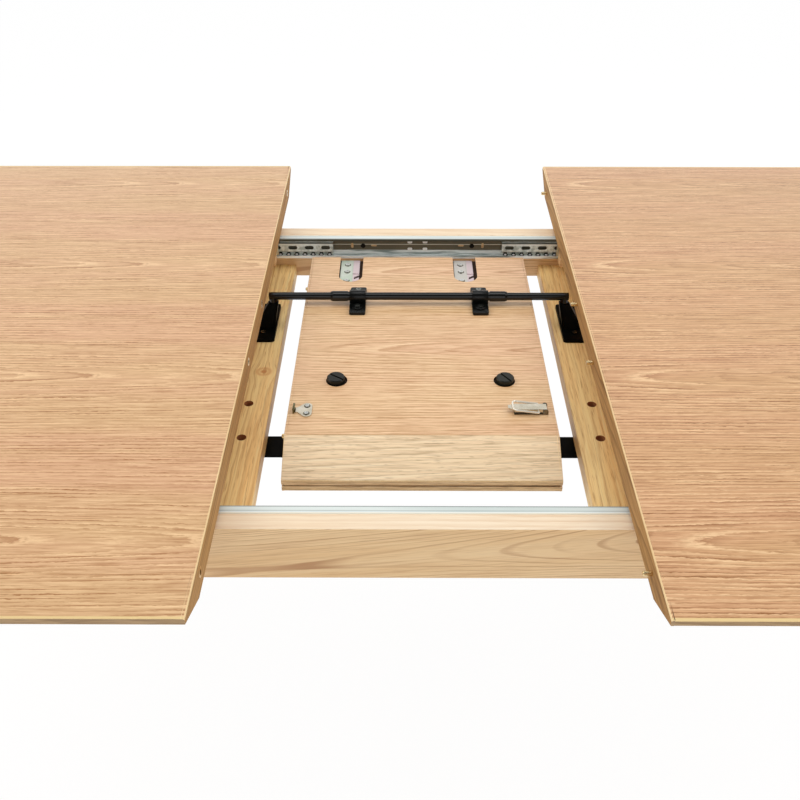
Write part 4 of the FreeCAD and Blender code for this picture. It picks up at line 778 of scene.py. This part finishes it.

# %% [markdown]
# ## Ball cages
# A cage is a thin folded strip that keeps the steel balls apart, with painted shade round each
# of its holes, where the balls sit deep in it. The shade could be little dark rings of mesh, one
# for each ball. Since the balls are all one pitch apart, the place along the cage is wrapped by
# that pitch instead, and one ring in the material comes back at every ball. Its upper strip gets
# a painted highlight, and its crease, shoulder and top fold get lines of painted shade.

# %% Paint the ball cages
FIRST_BALL = 0.12795
BALL_PITCH = 0.0119
BALL_ROW = 0.283
BALL_SHADE_REACH = (0.0042, 0.0036)
BELOW_BALLS = (0.6895, 0.6885)
UPPER_STRIP = (0.7012, 0.7018)
UPPER_CREASE = 0.7046
SHOULDER = 0.6912
TOP_FOLD = (0.7088, 0.7094)
cage_zinc = finish_coat("cage_zinc", colour(232, 240, 234), colour(176, 186, 178), 0.12, 0.34,
                        patch=160.0)
tree, base, bright, (x, y, z) = opened(cage_zinc)
along = calc(tree, "SUBTRACT", calc(tree, "ABSOLUTE", x), FIRST_BALL)
along = calc(tree, "WRAP", along, BALL_PITCH / 2, -BALL_PITCH / 2)
aside = calc(tree, "SUBTRACT", calc(tree, "ABSOLUTE", y), BALL_ROW)
# Painted shade round the hole of each ball.
ball_shade_mask = calc(tree, "MULTIPLY", stretch_mask(tree, reach_of(tree, along, aside), *BALL_SHADE_REACH),
              stretch_mask(tree, z, *BELOW_BALLS))
# A painted highlight along the upper strip.
upper_highlight = stretch_mask(tree, z, *UPPER_STRIP, 0.0, 0.8)
fold_shade = calc(tree, "MULTIPLY", stretch_mask(tree, z, *TOP_FOLD), 0.8)
# Painted shade along the crease, the shoulder and the top fold.
for share, tone in ((upper_highlight, colour(240, 246, 240)),
                    (line_at(tree, z, UPPER_CREASE, 0.0009, 0.0005, 0.8), colour(60, 66, 60)),
                    (line_at(tree, z, SHOULDER, 0.0010, 0.0004, 0.6), colour(84, 92, 86)),
                    (ball_shade_mask, colour(46, 52, 48)), (fold_shade, colour(52, 58, 52))):
    bright = mixed(tree, share, bright, tone)
tree.links.new(bright, base)
print("cage zinc ready,", len(tree.nodes), "nodes")

# %% [markdown]
# ## Hinge plates
# Each plate is yellow-passivated zinc, greenish on the flat and pinkish over the folded flap on
# its right, and three countersunk screws leave a dark ring of shade round their heads. The two
# plates could have a material each. They are alike, so they share one, which is wrapped by the
# distance between the plates as the cages are by their pitch.

# %% Paint the hinge plates
HINGE_MIDDLE = -0.01375
HINGE_APART = 0.1585
SCREW_COLUMN = -0.0055
SCREW_ROWS = (0.2359, 0.2164, 0.1919)
HINGE_RING = 0.0047
FLAP = (0.002, 0.002 + 0.0012)
RIGHT_PLATE = (0.0, 0.01)
RIGHT_TINT = 0.5
RING_FADE = 0.0006
RING_SHARE = 0.85


def shade_round_heads(tree, tone, aside, y, rows, outer, shade):
    """A dark ring round each screw head in a column of screws."""
    for row in rows:
        reach = reach_of(tree, aside, calc(tree, "SUBTRACT", y, row))
        ring = stretch_mask(tree, reach, outer, outer - RING_FADE, 0.0, RING_SHARE)
        tone = mixed(tree, ring, tone, shade)
    return tone


hinge_zinc = finish_coat("hinge_zinc", colour(196, 210, 190), colour(216, 222, 208), 0.75, 0.34,
                         patch=38.0)
tree, base, plain, (x, y, _) = opened(hinge_zinc)
from_hinge = calc(tree, "WRAP", calc(tree, "SUBTRACT", x, HINGE_MIDDLE - HINGE_APART / 2),
                  HINGE_APART / 2, -HINGE_APART / 2)
flap = stretch_mask(tree, from_hinge, *FLAP)
right_plate = stretch_mask(tree, x, *RIGHT_PLATE, 0.0, RIGHT_TINT)
plain = mixed(tree, calc(tree, "MAXIMUM", flap, right_plate), plain, colour(222, 202, 203))
aside = calc(tree, "SUBTRACT", from_hinge, SCREW_COLUMN)
plain = shade_round_heads(tree, plain, aside, y, SCREW_ROWS, HINGE_RING, colour(70, 66, 52))
tree.links.new(plain, base)
print("hinge zinc ready,", len(tree.nodes), "nodes")

# %% [markdown]
# ## Catch plate
# The hook that a latch pulls on is a small bent nickel plate with two screws. The hook stands
# up at the leaf's edge and shows its shaded side. A lamp could be placed so that it is dark,
# but would darken the leaf too, so that end of the plate is toned by its place along X.

# %% Paint the catch plate
HOOK_AT = -0.1412
HOOK = (HOOK_AT + 0.0006, HOOK_AT)
CATCH_SCREW_COLUMN = -0.1285
CATCH_SCREW_ROWS = (-0.1127, -0.0993)
CATCH_RING = 0.0040
catch_nickel = finish_coat("catch_nickel", *NICKEL_TONES, 0.85, 0.18, **NICKEL_LOOK)
tree, base, plain, (x, y, _) = opened(catch_nickel)
plain = mixed(tree, stretch_mask(tree, x, *HOOK), plain, colour(112, 104, 72))
aside = calc(tree, "SUBTRACT", x, CATCH_SCREW_COLUMN)
plain = shade_round_heads(tree, plain, aside, y, CATCH_SCREW_ROWS, CATCH_RING,
                          colour(78, 74, 60))
tree.links.new(plain, base)
print("catch nickel ready,", len(tree.nodes), "nodes")

# %% [markdown]
# ## Softened copies
# A sawn board never has a razor edge: it is sanded, and the small round catches the light. A
# Bevel modifier could round the solid, but the solid is loose triangles, and they share no
# edge that it could round. So the solid is copied, its triangles are merged, flat faces are
# joined up again, and then the long sharp edges get a narrow bevel. The copy rides on the same
# body, and stands for the solid.

# %% Copy a solid with softened edges
SAME_POINT = 0.000002
FLAT_WITHIN = math.radians(0.5)
SMOOTH_WITHIN = math.radians(50.0)
SHARP_ABOVE = math.radians(28.0)
LARGE_FACE = 0.0001
BEVEL_STEPS = 2


def softened(node, width, shortest=0.006):
    """A copy of a CAD node with its sharp edges rounded, riding on the same body."""
    source = nodes[node]
    shape = bmesh.new()
    shape.from_mesh(source.data)
    bmesh.ops.remove_doubles(shape, verts=shape.verts[:], dist=SAME_POINT)
    bmesh.ops.dissolve_limit(shape, angle_limit=FLAT_WITHIN, verts=shape.verts[:],
                             edges=shape.edges[:], delimit={"NORMAL"})
    sharp = [edge for edge in shape.edges
             if len(edge.link_faces) == 2 and edge.calc_length() > shortest
             and edge.calc_face_angle(0.0) > SHARP_ABOVE]
    rounded = bmesh.ops.bevel(shape, geom=sharp, offset=width, offset_type="OFFSET",
                              affect="EDGES", segments=BEVEL_STEPS, profile=0.5, material=-1,
                              clamp_overlap=True)["faces"]
    for face in shape.faces:
        face.smooth = face.calc_area() < LARGE_FACE
    for face in rounded:
        face.smooth = True
    for edge in shape.edges:
        edge.smooth = edge.calc_face_angle(0.0) < SMOOTH_WITHIN
    bmesh.ops.triangulate(shape, faces=[face for face in shape.faces if len(face.verts) > 4])
    mesh = bpy.data.meshes.new(node + "_board")
    shape.to_mesh(mesh)
    shape.free()
    piece = bpy.data.objects.new(node + "_board", mesh)
    bpy.context.scene.collection.objects.link(piece)
    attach(piece, source["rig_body"])
    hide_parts(node)
    return piece


print("edges sharper than", round(math.degrees(SHARP_ABOVE)), "degrees get softened")

# %% [markdown]
# ## Dressing a piece
# A real board is veneered on one side and bare on another. It could be split into a piece for
# each finish. Blender lets one piece hold a list of materials instead, and each of its faces
# says which of them it shows, so the board stays whole.


# %% Give a piece its materials
def dress(piece, *materials):
    """Gives a piece its materials, in place of any that it has."""
    piece.data.materials.clear()
    for material in materials:
        piece.data.materials.append(material)
    return piece


def paint_by_place(piece, rule):
    """Chooses one of a piece's materials for each face, from its centre and its normal."""
    for face in piece.data.polygons:
        face.material_index = rule(face.center, face.normal)
    return piece


print("dressing ready")

# %% [markdown]
# ## Half tops
# The veneer covers the whole upper side, out to the edges. Only the bevel, the narrow band and
# the lipping on the mating end show solid oak. The faces could be picked by hand in edit mode
# and given their material there. A rule that looks at where a face is and which way it faces
# does the same again whenever the model changes.

# %% Dress the half tops
TOP_Z = 0.750
TOP_WITHIN = 0.0002
OUTER_END = 0.8995
MATING_END = 0.1995
PANEL_ARRIS = 0.00005
EDGE_ARRIS = 0.0009
# How much of a face's normal has to point along an axis.
LEVEL = 0.9
UPRIGHT = 0.7
TILTED = 0.2
NOT_QUITE_LEVEL = 0.97
VENEER, ALONG, ACROSS, LIPPING, ARRIS, BAND = range(6)


def top_edge_rule(at, facing):
    """Veneer on top, lipping at the mating end, painted highlight on tilted faces, oak elsewhere.
    """
    if facing.z > LEVEL and at.z > TOP_Z - TOP_WITHIN:
        return VENEER
    if TILTED < facing.z < NOT_QUITE_LEVEL:
        return ARRIS
    if abs(facing.y) > UPRIGHT:
        return BAND
    if abs(at.x) < MATING_END:
        return LIPPING
    return ACROSS if abs(at.x) > OUTER_END and abs(facing.x) > TILTED else ALONG


for hand, veneer in (("left", veneer_left), ("right", veneer_right)):
    panel = dress(softened(hand + "_top_panel", PANEL_ARRIS), veneer)
    edges = softened(hand + "_top_edges", EDGE_ARRIS)
    dress(edges, veneer, solid_oak, solid_oak_end, lipping_shade_oak, arris_highlight_oak, top_band_oak)
    paint_by_place(edges, top_edge_rule)
    print(hand, "top", len(panel.data.polygons), len(edges.data.polygons))

# %% [markdown]
# ## Leaf
# The leaf is two boards that fold together face to face. Both sides of each are veneered, and
# routed pockets take the hinge plates. Each half could have a rule of its own, written as the
# one for the tops. They differ only in their heights, so one function makes both rules from
# those numbers.

# %% Dress the leaf
LEAF_END = 0.1497
LEAF_KINK = -0.1493
LEAF_WITHIN = 0.0003
LEAF_PANEL_ARRIS = 0.0002
NOT_ROUND = 0.88
FACE, SIDE, ROUND, POCKET, NEAR_BAND, END = range(6)
LEAF_HALVES = {
    # name: height of its face, heights of its pocket, how round its edges are
    "a": (0.668, (0.6915, 0.6972), 0.0006),
    "b": (0.6668, (0.6376, 0.6430), 0.0012),
}


def leaf_rule(face_z, pocket_low, pocket_high):
    """How one leaf half is painted: its two veneered faces, ends, near band and pockets."""
    def rule(at, facing):
        in_pocket = pocket_low < at.z < pocket_high
        on_face = abs(at.z - face_z) < LEAF_WITHIN or at.y > LEAF_KINK
        if abs(facing.z) > LEVEL and on_face:
            return POCKET if in_pocket else FACE
        if in_pocket and abs(at.x) < LEAF_END:
            return POCKET
        if TILTED < abs(facing.z) < NOT_ROUND:
            return ROUND
        if abs(at.x) > LEAF_END:
            return END
        return NEAR_BAND if abs(facing.y) > UPRIGHT else SIDE
    return rule


for half, (face_z, pocket, round_over) in LEAF_HALVES.items():
    # On the panels the pockets get painted shade.
    panel = dress(softened(f"leaf_{half}_panel", LEAF_PANEL_ARRIS), veneer_leaf, veneer_leaf,
                  veneer_leaf, pocket_shade_wood, veneer_leaf, veneer_leaf)
    # The rounded edges of the edge boards get a pale painted highlight.
    edges = dress(softened(f"leaf_{half}_edges", round_over), veneer_leaf, solid_oak, arris_highlight_oak,
                  solid_oak, band_oak, lipping_shade_oak)
    paint_by_place(panel, leaf_rule(face_z, *pocket))
    paint_by_place(edges, leaf_rule(face_z, *pocket))
    print("leaf half", half, len(panel.data.polygons), len(edges.data.polygons))

# %% [markdown]
# ## Aprons and cross rails
# Most boards of the frame are one wood all over. But the upper side of an apron is paler than
# its sides, the two cross rails come as one piece, and the holes in them get painted shade
# inside. The boards could be split up for that. Rules that go by place, as on the tops, keep them
# whole.

# %% Share out the woods of the aprons and the rails
HOLES = ((0.204, -0.051), (0.204, -0.115))
HOLE_REACH = 0.0062
UPWARDS = 0.5


def apron_rule(at, facing):
    """An apron's upper side gets a paler wood than its sides."""
    return 1 if facing.z > UPWARDS else 0


def rail_rule(at, facing):
    """Each cross rail has its own board; the walls of its holes get painted shade."""
    near_hole = any(math.hypot(abs(at.x) - hole[0], at.y - hole[1]) < HOLE_REACH
                    for hole in HOLES)
    if near_hole and facing.z < NOT_QUITE_LEVEL:
        return 2
    return 0 if at.x < 0 else 1


print("each cross rail has", len(HOLES), "holes")

# %% [markdown]
# ## Frame boards
# Aprons, rails, cleats, corner blocks and legs carry the tops, and their corners are broken by
# sanding, most on the legs, which get knocked. Each could be dressed in lines of its own. They
# all need the same steps, so they are a table: the board, how wide its corners are broken, its
# woods, and the rule that shares them out. A new board is then one more line.

# %% Dress the frame
APRON_SET = (frame_wood_x, frame_wood_top)
RAIL_SET = (rail_left, rail_right, hole_shade_wood)
LEG_NAMES = [f"leg_{depth}_{hand}" for depth in ("front", "back") for hand in ("left", "right")]
BOARDS = [
    ("apron_front", 0.0012, APRON_SET, apron_rule),
    ("apron_back", 0.0012, APRON_SET, apron_rule),
    ("left_cleats", 0.001, (frame_wood_x,), None),
    ("right_cleats", 0.001, (frame_wood_x,), None),
    ("end_rails", 0.0012, (frame_wood_y,), None),
    ("cross_rails", 0.0008, RAIL_SET, rail_rule),
    ("corner_blocks", 0.001, (frame_wood_x,), None),
] + [(leg, 0.0015, (leg_wood,), None) for leg in LEG_NAMES]
for name, corner, woods, rule in BOARDS:
    board = dress(softened(name, corner), *woods)
    if rule:
        paint_by_place(board, rule)
print("frame boards dressed", len(BOARDS))

# %% [markdown]
# ## Bent and cast fittings
# Brackets, clamps and strap are cast or bent steel, so their corners are rounder than those of
# the thin stamped latches and hinge plates. The rounds could be left out, since each is less
# than a millimetre, but they are what catches the light on a small part. These pieces have
# short edges, so here edges down to 1 mm are softened too.

# %% Dress the bent and cast fittings
SHORT_EDGE = 0.001
FITTINGS = (
    ("rod_brackets", black_coat, 0.0008, "black_steel"),
    ("rod_clamps", black_cast, 0.0007, "black_steel"),
    ("support_strap", black_coat, 0.0005, "black_steel"),
    ("top_latch_base", shaded_nickel, 0.00018, "nickel"),
    ("top_latch_lever", nickel, 0.0003, "nickel"),
    ("top_catch", catch_nickel, 0.00025, "nickel"),
    ("leaf_latch_base", shaded_nickel, 0.00018, "nickel"),
    ("leaf_latch_lever", nickel, 0.0003, "nickel"),
    ("leaf_catch", catch_nickel, 0.00025, "nickel"),
    ("leaf_a_hinge_plates", hinge_zinc, 0.0003, "zinc_steel"),
    ("leaf_b_hinge_plates", hinge_zinc, 0.0003, "zinc_steel"),
)
for name, material, width, slot_name in FITTINGS:
    part = dress(softened(name, width, SHORT_EDGE), material)
print("softened fittings", len(FITTINGS))

# %% [markdown]
# ## Turned, rolled and moulded parts
# Balls, screws, pins, rod and slides come from the machine with the shape that the solid model
# already gives them. They could be copied and softened as well, at the cost of many more
# faces. Their solids stay as they are, and only get their finish.

# %% Dress the other metal and plastic parts
SHAPED_PARTS = {
    channel_zinc: ["slide_channel_front", "slide_channel_back"],
    zinc: ["left_slide_members", "right_slide_members"],
    cage_zinc: ["left_ball_cages", "right_ball_cages"],
    screw_zinc: ["leaf_a_screws", "leaf_b_screws", "left_top_screws", "right_top_screws",
                 "leg_bolts", "leaf_hinge_pins"],
    ball_steel: ["left_slide_balls", "right_slide_balls"],
    wire_nickel: ["top_latch_loop", "leaf_latch_loop"],
    black_rod: ["swing_rod", "rod_collars"],
    black_screw: ["rail_screws", "rod_clamp_screws"],
    dark_screw: ["channel_screws"],
    brass: ["right_top_pins", "left_top_sockets", "leaf_a_pins_and_sockets",
            "leaf_b_pins_and_sockets"],
    black_nylon: ["glide_a_left", "glide_a_right", "glide_b_left", "glide_b_right",
                  "foot_pads"],
}
for material, names in SHAPED_PARTS.items():
    for name in names:
        dress(nodes[name], material)
print("other parts dressed", sum(len(names) for names in SHAPED_PARTS.values()))

# %% [markdown]
# ## Floor
# The table stands on a plain white studio floor. It is one big flat square, a little lower than
# the feet, so that the two surfaces don't fight. A curved backdrop could rise behind it, as in
# many studios, but the camera looks down steeply and never sees where the floor would end.

# %% Make the floor
FLOOR_SIZE = 14.0
FLOOR_DROP = 0.0004
FLOOR_GREY = 0.78
FLOOR_SHADING = 0.10
FLOOR_GLOW = 0.93
WHITE = grey(1.0)
sheet = bmesh.new()
bmesh.ops.create_grid(sheet, x_segments=1, y_segments=1, size=FLOOR_SIZE / 2)
floor_mesh = bpy.data.meshes.new("floor")
sheet.to_mesh(floor_mesh)
sheet.free()
floor = bpy.data.objects.new("floor", floor_mesh)
floor.location.z = -FLOOR_DROP
bpy.context.scene.collection.objects.link(floor)
print("floor", FLOOR_SIZE, "m square")

# %% [markdown]
# ## White of the floor
# The floor could be lit until it is white, but that much light would burn out the pale oak. So
# the camera sees a floor that glows almost white by itself, with a little real shading left in
# it for the table's shadow, and mirrors see the same. All other light meets a plain pale grey.

# %% Paint the floor
floor_material = bpy.data.materials.new("white_floor")
floor_material.use_nodes = True
tree = floor_material.node_tree
tree.nodes.clear()
rays = put(tree, "LightPath").outputs
seen = calc(tree, "MAXIMUM", rays["Is Camera Ray"],
            calc(tree, "MAXIMUM", rays["Is Glossy Ray"], rays["Is Transmission Ray"]))
plain = put(tree, "BsdfDiffuse", {"Color": grey(FLOOR_GREY)})
faint = put(tree, "BsdfDiffuse", {"Color": grey(FLOOR_SHADING)})
glow = put(tree, "Emission", {"Color": WHITE, "Strength": FLOOR_GLOW})
shown = put(tree, "AddShader", {0: faint.outputs[0], 1: glow.outputs[0]})
floor_mix = put(tree, "MixShader", {0: seen, 1: plain.outputs[0], 2: shown.outputs[0]})
put(tree, "OutputMaterial", {"Surface": floor_mix.outputs[0]})
floor_mesh.materials.append(floor_material)
print("the floor glows at", FLOOR_GLOW)

# %% [markdown]
# ## Room
# The room round the table lights it softly from everywhere. A picture of a real studio could
# be wrapped round the scene, but this table needs only a plain one. The camera sees it white.
# In lacquer and metal it is mirrored with a bright wall behind the table, a dimmer ceiling and
# a still dimmer front, where a person stands, which keeps a white veil off the tops.

# %% Make the room
WORLD_LIGHT = 0.64
CEILING = 0.35
FRONT_SHARE = 0.4
# How far a direction points to the back, where each change starts and where it is full.
BACK_WALL = (0.60, 0.80)
FRONT_SIDE = (-0.45, 0.10)
world = bpy.data.worlds.new("studio")
world.use_nodes = True
bpy.context.scene.world = world
tree = world.node_tree
tree.nodes.clear()
rays = put(tree, "LightPath").outputs
direction = put(tree, "TexCoord").outputs["Generated"]
towards_back = put(tree, "SeparateXYZ", {0: direction}).outputs[1]
room = calc(tree, "MULTIPLY", stretch_mask(tree, towards_back, *BACK_WALL, CEILING, 1.0),
            stretch_mask(tree, towards_back, *FRONT_SIDE, FRONT_SHARE, 1.0))
mirrored = calc(tree, "MAXIMUM", rays["Is Glossy Ray"], rays["Is Transmission Ray"])
strength = put(tree, "Mix", {0: mirrored, 2: WORLD_LIGHT, 3: room}).outputs[0]
strength = calc(tree, "MAXIMUM", strength, rays["Is Camera Ray"])
sky = put(tree, "Background", {"Color": WHITE, "Strength": strength})
put(tree, "OutputWorld", {"Surface": sky.outputs[0]})
print("the room lights the table at", WORLD_LIGHT)

# %% [markdown]
# ## Lamps
# A studio would hang soft boxes over and beside the table and a weak one in front. Sun or point
# lamps would be simpler, but throw hard shadows. Square area lamps of more than a metre give
# the soft edge, and four weak ones light the boards evenly, so that a colour comes out about
# as it was written.

# %% Hang the lamps
LAMPS = (
    # name, where it hangs, what it faces, width of its square, watts
    ("key_light", (-0.05, 0.35, 2.9), (0.0, 0.1, 0.7), 1.2, 11.0),
    ("left_light", (-1.9, 0.15, 2.2), (0.0, 0.05, 0.7), 1.2, 14.5),
    ("right_light", (1.9, 0.15, 2.2), (0.0, 0.05, 0.7), 1.2, 14.2),
    ("fill_light", (0.1, -2.6, 1.5), (0.0, -0.2, 0.7), 1.6, 9.5),
)
for name, at, towards, size, power in LAMPS:
    light = bpy.data.lights.new(name, "AREA")
    light.shape = "SQUARE"
    light.size = size
    light.energy = power
    lamp = bpy.data.objects.new(name, light)
    lamp.location = at
    lamp.rotation_mode = "QUATERNION"
    lamp.rotation_quaternion = (Vector(towards) - Vector(at)).to_track_quat("-Z", "Y")
    bpy.context.scene.collection.objects.link(lamp)
print("lamps", [lamp[0] for lamp in LAMPS])
